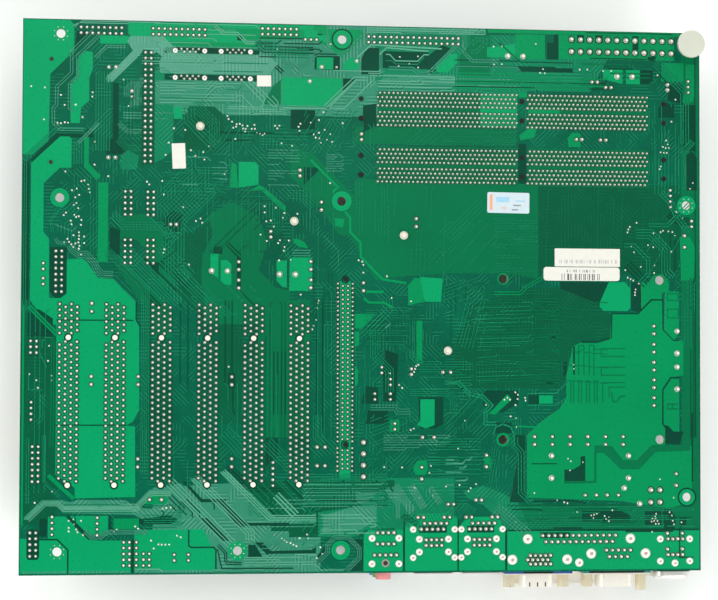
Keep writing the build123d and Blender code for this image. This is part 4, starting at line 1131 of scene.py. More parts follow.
VIA_SPOTS = outline(
    """
246.3,92.6 246.4,90.8 206.3,74.5 214.7,76.9 216,77.8 217.2,76.9 219.6,80.2 220.8,79.1 220.6,77.2
219.7,74.5 217.5,69.4 219.9,68.6 220,64.7 224.1,77.7 224.3,76.5 196.8,67.4 130.8,120.7 130.4,119.6
130.2,117.4 129.9,112.1 128.6,109.5 128.1,107.9 163.6,122.1 172.3,120.7 175.6,92.4 174.7,91.8 174.2,90.5
173.7,89.2 163,88.5 167,83.4 168.4,82 172.3,63.3 173.6,64 122.8,123.3 87.3,117.6 91,91.2 286.8,182.8
286.2,181.5 301.6,175.4 300.3,172.8 293.9,162.2 296.8,159.3 275.4,157 272.3,155.1 271.6,153.9 271.2,152.6
283.3,152.4 286.6,152.9 287.7,153.5 290.1,153.3 292,153 293.2,151.4 272.9,146.1 274.2,143.6 280.7,146.9
283.1,146 291.6,144 283.6,137.9 277.4,137 270.2,135.5 271.3,132.1 272.6,131.4 273.8,130.8 276.4,129.5
274.9,126.8 274.7,125.5 274.6,124.2 283.5,134.3 135.8,173.1 148.7,138.8 150.3,138.2 150.8,136.8
150.8,133.3 161.4,131.8 88.7,176.5 62,167 70.6,161.5 78.2,156.6 76.2,155.5 79,154.8 106.6,162.4
111.5,161.8 106.6,159.7 115.4,159.5 114.7,157.4 121.2,159.2 107.4,155.7 109.4,156.1 110.8,153.4
104.8,149.8 107.6,147 113.5,147.4 112.7,146.1 117.4,147.3 115.5,144.4 115.2,142.7 62.4,142.9 73.2,136.2
113.1,138.4 118.3,138.7 89.9,202.3 90.4,200.9 92,199.8 94,198.7 95.4,198.9 92.5,197.1 93.8,197.6
96.6,198.2 96.9,196.8 98,196.7 98.8,198 97.8,195.4 100.7,196.7 101.9,198.5 102.1,196.8 103,195 104.4,194.8
105.6,193.9 106.4,194.8 111.1,198.3 113,198.4 112.1,197.1 114,190.5 118.7,189.5 93.5,192.1 81.7,188.6
79.3,186.1 73.8,186.8 75.8,184.3 79.8,182.8 62.7,184.6 64,190 66.3,196.4 71.3,195.8 122.4,199.4 121.6,198
122,196.2 127.1,199.9 112,232.3 132.7,204.7 130.7,201.2 133.2,196.9 130.7,195.5 128.3,194.7 129.2,193.3
130.9,193 131.5,191.1 134.2,192.5 136.7,191.5 135.7,195 141.3,200 135.8,235.3 167,230.2 175.2,230.6
171.3,227.1 166.5,226 175.3,225.6 209.6,235.7 213.5,235.9 229,237.4 209.9,227.7 213.4,227.9 232.3,226
231,224.3 233.1,224.2 249.2,226.1 252.7,226.2 260,225.7 263.8,225.8 285.3,224.3 293.6,213.3 291.7,203.2
289.3,194.6 290,192.8 290.4,191.2 289,191.2 287.7,191.7 286.7,189.2 288.2,189 289.5,189 284,23.4
12.4,100.1 12,93.5 3.9,87.7 7,85 7.7,81.7 13.5,87 13.5,85 25.9,172.5 27.2,172.8 28.8,171 29.2,169.1
29.7,167.5 24,169.1 21.8,168.4 25,166.4 23.3,165.3 23.8,162.8 22.7,161.9 24.6,160.5 19.3,158.5 18.3,157.4
22.9,157.6 24.8,157 23.7,156.6 26,155.4 21.4,155 21.7,153.4 25.8,153.2 25,149.9 25,148.4 22.6,148.6
27.2,148.1 20,147 25,147 20.7,145.7 24.8,145.5 18.6,145.5 23.5,145 27.3,145.2 21.7,144.6 25.3,144
22.6,143.5 25,142.7 26,140.1 18.9,176.6 31.6,179.8 37.6,174.8 54.6,172.6 55.6,171.4 61.3,173 62.7,142.8
62,141.3 44,217.6 46.3,205.9 30.5,211.7 30.4,209.8 23.2,206.1 18.4,205.9 16.7,210.3 3.8,213.9 9.7,213.5
9.4,199.4 26.2,200.7 15.3,198 16.8,197.8 18.5,198.3 19.9,198.1 31.7,189.9 21.5,23.7 23.4,24.2 26.8,23.7
23.8,22.3 21.5,20.6 24.8,19.9 21.5,19.1 25.3,18.7 27.7,17.5 6.7,31.6 42.4,19.7 41.2,19 50.4,21.1 51.7,20.1
57.3,14.9 58.5,11.4 60.6,13.2 62,13.1 63.6,13.1 65.3,13.1 62.4,28.8 63.9,29.2 65.8,29.4 14.2,36.5 68.6,17
70.3,16.3 111.5,17 114.8,15.5 116,14.6 117,14 118.7,13.5 120,12.7 121.3,12.1 122.8,15.6 126,17.2
126.3,15.6 132.9,8.5 130.4,6.8 132,11.5 160.4,46.8 168.4,46.7 181.4,47.5 180.7,44.2 174,37.6 176.2,33.2
182.1,34.1 188.2,38.1 193.7,54.9 194.3,38.8 199.4,37.4 198.4,36 201.8,39.2 219.8,22.1 243.7,50.5 245,49.3
244.6,45.2 250.5,48.9 247.9,26.4 238.7,31.7 241.9,31 243.4,30.5 228.3,35.1 254.3,25 255.6,25.3 256.9,25.8
255.3,23.9 260.5,24.7 262.4,24.1 261.1,23.3 262.4,22.4 264,27.3 284.2,25.6 283.8,24.4 282.5,23.4
283.3,22.4 284.8,22.4 282.1,22.1 284,21.1 285.4,21.1 290.4,26.3 291.5,24.8 291.9,22.4 292.4,20.8
295.9,21.7 282.3,17.5 286,41.1 292.3,32.8
    """
)


def joint_fields() -> list[JointField]:
    """Lists every family of joints with its lead size.

    Returns:
        The families.
    """
    loose = [Run(289.9, 220.0, 2, 0, -2.4), Run(131.9, 225.0), Run(147.6, 227.9)]
    loose += [Run(126.5, 218.5), Run(37.6, 223.0), Run(37.6, 183.1)]
    loose += [Run(40.7, 223.1), Run(40.7, 183.1), Run(47.7, 212.6)]
    sata = []
    for x, y in SATA_SPOTS:
        sata += [Run(x - 3.81, y + 0.75, 4, PITCH), Run(x - PITCH, y - 0.5, 3, PITCH)]
    squares = outline(
        "245.4,234.25 285.9,36.4 232.1,16.1 138.5,225 161,7.9 272.3,9.4 47.6,168.3 57.6,168.2 "
        "47.6,146.9 57.6,146.9 15,134.3 15,123.8 4.4,97.1 4.8,67.8 5.5,40.8 14.25,25.5 33.8,25 "
        "110.75,49 51,4.1 54,4.1 67.5,8.7 73.7,8.7 291.1,164.3 151.1,57.8 47.7,210.1"
    )
    return [
        JointField("pci_slot_joints", Joint.PIN, pci_runs(), 0.3, 11),
        JointField("memory_socket_joints", Joint.MEMORY, memory_runs(), 0.16, 12),
        JointField("graphics_slot_joints", Joint.LANE, lane_runs(), 0.22, 13),
        JointField("header_joints", Joint.HEADER, header_runs(), 0.2, 14),
        JointField("rear_port_joints", Joint.LEAD, rear_runs(), 0.25, 15),
        JointField("disk_port_joints", Joint.SMALL, sata, 0.0, 16),
        JointField("power_joints", Joint.POWER, power_runs(), 0.4, 17),
        JointField("choke_joints", Joint.COIL, coil_runs(), 0.0, 18),
        JointField("capacitor_joints", Joint.LEAD, [can.leads() for can in capacitor_spots()], 0.2, 19),
        JointField("loose_lead_joints", Joint.LEAD, loose, 0.0, 20),
        JointField("square_pad_joints", Joint.SQUARE, [Run(x, y) for x, y in squares], 0.0, 21),
        JointField("vias", Joint.VIA, [Run(x, y) for x, y in VIA_SPOTS], 0.0, 22),
    ]


@dataclass
class LugJoints:
    """Wide joints of shield lugs and board locks."""

    rim_height: float = 0.02
    facets: int = 18

    def lugs(self) -> list[tuple[float, float, float, float]]:
        """Lays out the lugs.

        Returns:
            Centre, radius and height of each.
        """
        found = [(x, y, 1.6, 0.9) for x in (155.05, 167.05) for y in (4.0, 15.3)]
        for x in NETWORK_X:
            for side in (-1, 1):
                found += [(x + side * 9.35, y, 1.5, 0.9) for y in (6.6, 19.1)]
                found += [(x + side * 6.55, y, 1.6, 0.95) for y in (9.1, 14.8)]
        for middle, reach, y, r in (
            (PARALLEL_X, LONG_SCREW_REACH, 14.6, 2.25),
            (VIDEO_X, JACK_SCREW_REACH, 5.4, 2.3),
            (SERIAL_X, JACK_SCREW_REACH, 7.9, 2.3),
        ):
            found += [(middle + side * reach, y, r, 1.1) for side in (-1, 1)]
        found.append((PARALLEL_X, 3.9, 1.95, 1.0))
        found += [(ROUND_X + side * 6.8, y, 1.6, 0.9) for side in (-1, 1) for y in (4.3, 14.25)]
        found.append((ROUND_X, 3.4, 1.65, 0.9))
        return found + [(x + side * 6.5, y, 1.15, 0.6) for x, y in SATA_SPOTS for side in (-1, 1)]

    def build(self, board: Board) -> list[bpy.types.Object]:
        """Builds the domed joints with a dished top round each lug's end.

        Args:
            board: The board that carries them.

        Returns:
            The new object.
        """
        mounds = Shape("shield_lug_joints", LUG_SOLDER, LUG_END)
        for x, y, r, tall in self.lugs():
            dished = (r * 0.34, tall * 0.86)
            dome = [(r, self.rim_height), (r * 0.93, tall * 0.38), (r * 0.78, tall * 0.75)]
            dome += [(r * 0.58, tall), (r * 0.42, tall * 0.97), dished]
            mounds.lathe((x, y, 0.0), dome, self.facets, 0)
            mounds.lathe((x, y, 0.0), [dished, (0, tall * 0.84)], self.facets, 1)
        made = mounds.build(board, 60)
        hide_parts("solder_joints")
        return [made]


# ---- Copper under the mask ----------------------------------------------------------------
class Tone(Enum):
    """What lies under the mask, which sets its green."""

    PLANE = MASK_SHADE
    THIN = MASK_MID
    HEAVY = MASK_CLEAR
    POUR = MASK_LIGHT
    LINE = MASK_LINE
    DENSE = MASK_PALE
    VEIL = MASK_VEIL
    PALE = MASK_TRACE
    GAP = MASK_GAP


# Copper areas by region, in the order in which they lie on one another. Each is a tone and its
# corners in board millimetres.
AREAS = {
    "broad planes": """
THIN 43,157.5 55,158.5 68,146 68,131 62,125 56,131 56,141 50,147 43,147
THIN 40,137 44,138 66,116 66,104 58,104 58,111
THIN 80,124 88,116 112,116 112,126 104,134 108,146 104,158 92,164 82,158 76,148 76,134
THIN 118,190 128,186 146,168 146,150 140,150 128,166 118,176
PLANE 62,152 74,150 82,156 84,150 79,140 79,127 87,117 80,112 68,124 68,134 62,140
DENSE 62,203 160,203 160,243 62,243
LINE 156,214.8 225,214.8 225,241 156,241
DENSE 58,0.8 132,0.8 132,34 94,40 58,38
LINE 132,16 192,16 192,42 132,42
PLANE 0.5,22 15.4,22 15.4,104 0.5,112
LINE 57.8,181 62,183 66,187 66,222 57.8,222
PLANE 52,180 57.6,180 57.6,233 52,233
THIN 104,94 106,94 106,60 127,60 127,121 104,121
PLANE 86.5,66 97.3,66 97.3,123 86.5,123
THIN 80,110 118,110 118,125 104,128 96,140 80,128
THIN 145,150 156,130 170,132 190,133.5 219,133.5 230,131 230,175 147,175
THIN 147,191 220,191 220,198.5 147,198.5
THIN 296.2,18 304.2,18 304.2,243 296.2,243
PLANE 230,133.6 296,133.6 296,174 230,174
PLANE 190,82 240,82 243,88 246,101 250,102.8 257,102.6 263,104.5 263.8,115.5 260,117 258,120 240,127
  222,127 200,119 193,104
PLANE 98,16 165,16 165,41 98,41
DENSE 93,33.5 99.5,33.5 110,22.6 110,18 104,18 93,29
DENSE 148,30.6 168,30.6 168,36 148,36
LINE 131,16 148,16 152,19 166,20 170,28 163,36 158,36 150,29.6 131,27
THIN 216,19 304,19 304,30 216,30
LINE 192,216 254,216 262,231 196,231
""",
    "front left corner and slot-side strip": """
GAP 3,181 7,181 17,191.6 31,191.6 31,195.2 16,195.2
POUR 0.4,184 4.5,183.8 11.5,190 12,219.5 22.3,230 22.3,241.5 20.5,243.4 0.4,243.4
POUR 4,120 11.7,109.4 22,109.4 22,121 12.2,121 12,147 9.5,150 9.5,171.3 16.5,178.3 21.5,178.3 21.5,191
  20.5,192 16.5,192 7,183 4,180
POUR 15.5,109 15.5,44 24,38 24,33.5 50.3,34 50,64.8 46,65.3 49,67 51.8,72 51.5,109 50,111.5 50,119.5
  40,129.5 33.5,130 28.5,137 26.5,138.5 20,138
GAP 22.6,230.4 28.8,236.4 28.8,238.8 23.4,238.8
POUR 21,198 25,198 25.5,205 29,208 29,218 30.5,222 30.5,229.5 27,230 23.5,226 23.5,219 20.5,215
POUR 33.6,233.4 45,233.4 46.6,234.8 46.6,237 33.6,237
POUR 46,238 48.4,236 62,236 62,243.4 46,243.4
HEAVY 33.2,137 37.6,137 37.6,172 33.2,172
HEAVY 27,178.6 32.6,173 34.4,174.8 29,180.2 29,192 27,192
GAP 39.4,186 42,186 42,216 39.4,216
GAP 36.5,184.5 46,184.5 46,188 43,191.5 36.5,191
GAP 38.4,140 42.8,140 42.8,151 38.4,152.5
GAP 56,137 60,137 60,130 57,133
GAP 0.5,120 3.4,120 3.4,181 0.5,181
GAP 13,123 15,121 17.2,121 19.8,123 19.8,143.3 12.4,143.3 12.4,124
GAP 4,104 14,104 14,112 8,116 3,116 3,104
""",
    "rear left": """
POUR 0.5,0.8 48.5,0.8 48.5,15 36,15 30,15.4 24,21 24,25.6 12.5,25.6 12.5,16 0.5,16
POUR 24.6,21.2 31,17 38.5,17 38.5,25.8 24.6,25.8
HEAVY 41,20 52,20 52,24.6 41,24.6
POUR 50,1.5 85.4,1.5 85.4,10.6 84.4,11.6 74,11.6 73.4,19.6 50,19.6
POUR 74.2,12.2 84,12.2 80,19.8 74.2,19.8
HEAVY 54.5,30.8 63.8,30.8 64.8,33 63,35.2 57,35.2 54.5,33
GAP 8.8,16.8 12,16.8 12,24.6 8.8,24.6
GAP 4,6.8 8,6.8 8.8,8 8.8,19 8,20 4,20 3.3,19 3.3,8
GAP 52,22 66,22 69,24 66,25.8 52,25.8
GAP 50.4,27.6 54.6,30.4 54.6,27.6
""",
    "the grey bundle along the rear": """
DENSE 2.2,24.2 4,24.2 10.6,30.6 16.5,30.6 19,27 50,26.2 53,24.4 62,25.6 62,29.4 56,28.8 50,30 46,32.6
  25,32.8 22,31.8 18,32.8 9.8,32.8 2,25.2
DENSE 50,30.6 56.6,37.2 68,37.2 72,33 72,31 66,36 57.6,35.6 52,30
DENSE 63,38 70,40 99,11 99,8 92,8
DENSE 74,42 80,42 104,18 104,14 98,14 96,18
DENSE 87,45 92,45 112,25 130,25 130,22 108,22
DENSE 98,4 130,3.4 130,9.6 104,9.4 98,7
DENSE 99,14 118,14 118,18.6 99,19
DENSE 133,18 150,19 157,24 157,30 146,29 133,25.6
LINE 196,36 205,38.6 214,35 221,30.6 225,22 226,18.4 216,18.4 212.6,23 205,30 198,33
DENSE 2,1 48,1 48,1.7 2,1.7
DENSE 50,0.9 151,0.9 151,1.9 50,1.9
GAP 71,40.6 72.4,40.6 79.6,33 90,33 90,31.6 79,31.6
GAP 86.6,32 89,32 99.6,21.4 97,20.4 94,22.6
GAP 78.6,24.6 82.6,24.6 91.6,14.6 88,14.6
GAP 100,12.8 103,12.8 106.4,7.4 100,7
GAP 102.8,13.8 106.4,13.8 110.4,9.6 108.6,8.2
GAP 97.6,24 100,22.4 118,22.4 118,21.2 99,21.2
GAP 107,46.6 113,52 113,60 107,60
GAP 109,10 128,10.4 130,12.6 130,8.8 109,8.8
""",
    "rear ports": """
GAP 142.5,0.9 151,0.9 151,15 143,15 148,10 148,7
GAP 130.6,3.6 135.4,8.6 134.6,12 130.6,8
POUR 151.3,0.8 168.8,0.8 168.8,19 153.4,19 151.3,17
POUR 169.8,0.8 193.4,0.8 193.4,24.6 189,26.4 175,26 169.8,20
POUR 194,0.8 215,0.8 215,18 212,24.6 198,24.6 194,20
POUR 216,0.8 304.2,0.8 304.2,18 216,18
GAP 231,14.9 244.6,14.9 244.6,17.5 231,17.5
GAP 176,17.6 188.6,17.6 188.6,20.6 176,20.6
GAP 197.8,17.6 210,17.6 210,20.6 197.8,20.6
GAP 250,22.2 264,22.4 272,22.4 272,25 268,27 250,27
GAP 288,19 292.6,18 293.4,24 289,30 287,26
GAP 279,20.6 286.6,20.6 286.6,27 279,27
GAP 295,19 298,20.6 298.6,24 295,24
GAP 270,17.4 292,17.4 292,19 270,19
GAP 237,19 250,19 250,20 237,20
""",
    "processor supply": """
GAP 217,31 224,31 224,61 219,61 221,52
HEAVY 225,33 268,31.4 290,28 300.8,31 300.8,56 286.5,56 291.5,58.5 290,62 287,66 287.2,81.5 291,87
  297,88 297,103.5 292,104 287.3,109 287.3,121.8 282.5,121.8 276,115.5 263.8,115.5 263,104.5 257,102.6
  250,102.8 246,101 243,88 243,78 240,73 230,66 225,61
HEAVY 288,104.5 292.5,103.8 295,107 295,126 288.5,126
HEAVY 287.6,66 290.5,62.5 295,62.5 295,86.5 291.5,86.5 287.6,81
THIN 256,56.5 264,56 269,49.8 275.4,49.8 282.2,56.6 300,56.6 300,54 284,53.4 276.4,45.6 268,45.6 260,53
  256,53
GAP 288.4,57.2 295,56.8 297,62.6 292.4,62.6 289.6,65.4 288.4,65.4
GAP 242,39.4 251.6,39.4 251.6,51.5 249.4,51.5 249.4,47.6 246,45.6 242,45.6
GAP 246,88.2 246.9,88.2 246.9,101 246,101
GAP 241.4,88 242.6,86.8 243.2,92.6 243.2,94 241.4,94
GAP 272.8,117.4 276.6,116.4 278,118.4 277,130 272.8,130
POUR 258.4,118.5 260,117 271,117 272.5,118.5 272.5,127 270,130 262.5,130 258.4,124.5
HEAVY 277.5,118 282,122.5 287,122.5 287,125.6 290.2,126.1 290.5,129.4 288.8,132.2 286.6,133.8
  283.5,133.2 282,131.3 280.2,129.9 277.5,130.2
HEAVY 296,131 302,131 302.6,146 300,151 295.5,151
GAP 240,127 258,120 262.5,130 240,130
""",
    "graphics slot and the larger chip": """
POUR 140.4,42 145.2,42 145.2,129.5 140.4,129.5
HEAVY 147,115 156,115 153,111 150.5,108.2 147,108.5
HEAVY 146.9,100 149,101 149,107 146.9,107
HEAVY 147.1,82 148.5,84 148.6,90 147.1,92
GAP 152,66 162,66 162,72 153,72
GAP 150,75 157.6,75 157.6,82 152,83
GAP 159.8,76 165.6,76 166.6,97 161,99 159.8,90
GAP 175.8,64 183.2,64 187,66 187,78 175.8,78
HEAVY 171,119 178,120.4 178,131 174,131 171,128
POUR 178.4,120.6 185.8,120.6 186.6,131 176.4,131.6
POUR 176.6,67.5 175,65.5 179,64 183,65.5 183,77 176.6,77
HEAVY 162.8,62.5 167,62.5 167,68 162.8,68
HEAVY 174.8,93 177.4,93 177.4,112 174.8,112
HEAVY 174.4,43.4 179,43.4 180,46 179.4,50 175,49.4 173.4,46
HEAVY 205.4,46 208.6,46 209,49.6 207.4,52.8 205.4,52
GAP 205,74 213.6,71 221,75 221,81 205,81
HEAVY 207.5,70.5 210.5,70.3 218,77 216,79.4
GAP 225.6,75 230.4,75 230.4,79 225.6,79
GAP 209.8,61.8 218.4,61.8 218,66.6 210.4,66.6
POUR 230.5,75.2 236.7,75.2 236.7,78.8 230.5,78.8
""",
    "around the smaller chip": """
GAP 62,150.4 70,150.4 70,158.6 66,160 62,156
GAP 83,141.4 88,141 88,144.5 84,144
GAP 90.8,81.6 93.9,81.6 93.9,88.6 90.8,88.6
GAP 94.4,125 96.2,125 96.2,139.6 94.4,139.6
POUR 95,170.5 103.8,172 103.8,180.5 102,182 95,182
HEAVY 91,170.5 94.8,170.5 94,181 91.6,181.5
HEAVY 100,169 105,169.5 113.5,161.5 116,160.2 116,162.5 106,171 104,171.8
POUR 82.7,132.5 86.2,130.5 86.2,141 82.7,141
POUR 87.3,129 89.5,127.4 92,127.4 92,136.5 90,138.3 87.3,138.3
POUR 112,129.5 114.5,126.7 116.6,126.7 116.6,138.4 112,138.4
POUR 117.7,125 126,125 127.9,126.6 127.9,139.8 118,139.8
HEAVY 119.5,146.5 122,144.5 126,144 124.5,146.5 121.5,148 119.5,148
HEAVY 138,154.2 141.6,153.4 142.2,157 138,157.6
GAP 124,172 132,180 124,180
PLANE 70.6,187 84,187 88,191 88,203 84,206.4 73,206.4 70.6,200
POUR 66.2,200.7 69.9,200.7 69.9,206 66.2,206
""",
    "front edge": """
HEAVY 62,233 104,233 104,235 62,235
POUR 62,235 104,235 98,236 93,240.5 83,240.5 83,243.4 62,243.4
HEAVY 83,241 93,241 98,236.4 128,237.4 134,234 134,243.4 83,243.4
POUR 88,241.4 128,241.4 128,243.4 86,243.4
GAP 94,236 96.4,236 96.4,238.8 94,238.8
VEIL 60,221 108,221 112,226 108,229.6 62,229.6 59.6,226
DENSE 58,207 96,207 96,217.6 58,217.6
LINE 43,178 50,178 51,184 46,186.4 43,184
VEIL 45.5,234.5 47,237 62,237 63,234 60,231.5 57,229 55.5,231 52.5,231 51,228.5 39.2,216.6 36.6,216.2
  36.2,218 48,230.5
VEIL 58,235 62,236.4 70.6,228.4 70.6,223 66,223.4 57.6,231
THIN 106,207.8 113.6,207.8 113.6,219 110,216
GAP 62,229.9 103.6,229.9 104.6,232.4 62,232.4
GAP 62,217.9 103,217.9 103,220.5 62,220.5
POUR 114.2,207.5 135,207.5 141,214 141,220 114.2,220
GAP 141.4,214 147,220 141.4,220
GAP 128.6,223.6 140,223.6 140,231.6 128.6,231.6
POUR 129.6,224 137,224 137,229.3 129.6,229.3
POUR 141.5,223.2 146.5,223.2 149,226 148.5,229 144.5,229.5 141.5,226.5
DENSE 110,220.6 156,220.6 160,223.8 113,223.8
DENSE 90,202.6 115,203.2 118.5,206.2 134,206.2 134,207 89,207
GAP 118,197 129,197 129,205.6 118,205.6
DENSE 137,206 148,219 157,219 157,215 155.5,208 148,203 143,203
POUR 124,241.2 129,241.2 131,239 134,239 134,236.4 124,236.4
HEAVY 136,233 141,229 150,238.5 150,243.4 134,243.4
DENSE 150,240.8 186,240.8 206,241.6 206,243.5 134,243.5 134,242 150,242
DENSE 156,214.8 186,214.8 192,218 192,222.3 160,222.3
GAP 149.6,222 157.6,222 157.6,234 152,234 149.6,229
GAP 158.4,225 180,225 180,232.6 158.4,232.6
GAP 180,223.6 183.4,224 183.4,227 190,234.6 186,236 180,231
GAP 150.4,196 156.4,199 156.4,209 150.4,208
POUR 183.5,224 188.5,223.5 193,228 193,232 190,232 183.5,226.5
THIN 194,222.6 208,222.6 208,241 198.6,241 198.6,236 194,231
POUR 206.6,231 219.4,231 219.4,237.3 213,236 206.6,235.4
HEAVY 219.8,230.6 233.2,230.6 233.2,241.6 219.8,241.6
HEAVY 207,242 304,242 304,243.5 207,243.5
GAP 234,230.4 239.2,230.4 239.2,241.8 237,241.8 237,238 234,238
HEAVY 239.6,231 293,231 293,241.8 239.6,241.8
GAP 248,238.4 251.2,238.4 251.2,241.8 248,241.8
GAP 256.4,238.4 259.8,238.4 259.8,241.8 256.4,241.8
GAP 273.6,235.6 276.4,235.6 276.4,241.8 273.6,241.8
GAP 221,224.6 246,224.6 246,226.6 221,226.6
GAP 277.2,220 281,220 283,222 283,226.4 277.2,226.4
POUR 260,222 269,220 269,226.4 260,226.4
POUR 270.6,220 277,220 277,226.4 270.6,226.4
GAP 280.6,230.6 283.4,230.6 285,232.6 280.6,232.6
HEAVY 287,221.5 297.4,221.5 297.4,230 287,230
GAP 290,213 297,211 297,220 290,220
HEAVY 296.6,212.6 299,211.4 301.6,212.6 302.4,215 302.4,229.5 298.4,229.5 298.4,217
GAP 296.8,190 303,190 303,211 296.8,211
GAP 298.6,172 303.4,172 303.4,187 301,190 298.6,188
GAP 285.6,205 293,205 293,211 288,212 285.6,209
""",
    "memory field": """
THIN 157,173 220.6,173 220.6,190 157,190
THIN 225.4,173 281,173 281,190 225.4,190
THIN 157,199.2 220.6,199.2 220.6,214.6 157,214.6
THIN 225.4,199.2 281,199.2 281,214.6 225.4,214.6
GAP 221,174 224.6,174 224.6,192 221,192
POUR 203.6,199.3 220.4,199.3 220.4,214.8 203.6,214.8
HEAVY 220.8,213 225,213 225,215 220.8,215
HEAVY 225.4,205.6 240,205.6 240,208 225.4,208
HEAVY 222,193.6 228,195 229.5,199 226,199.2 221.5,196
HEAVY 244,191 249.4,191 249.6,197 246,197.6 243.6,195
HEAVY 205,182.2 220,182.2 220,183.6 205,183.6
""",
}

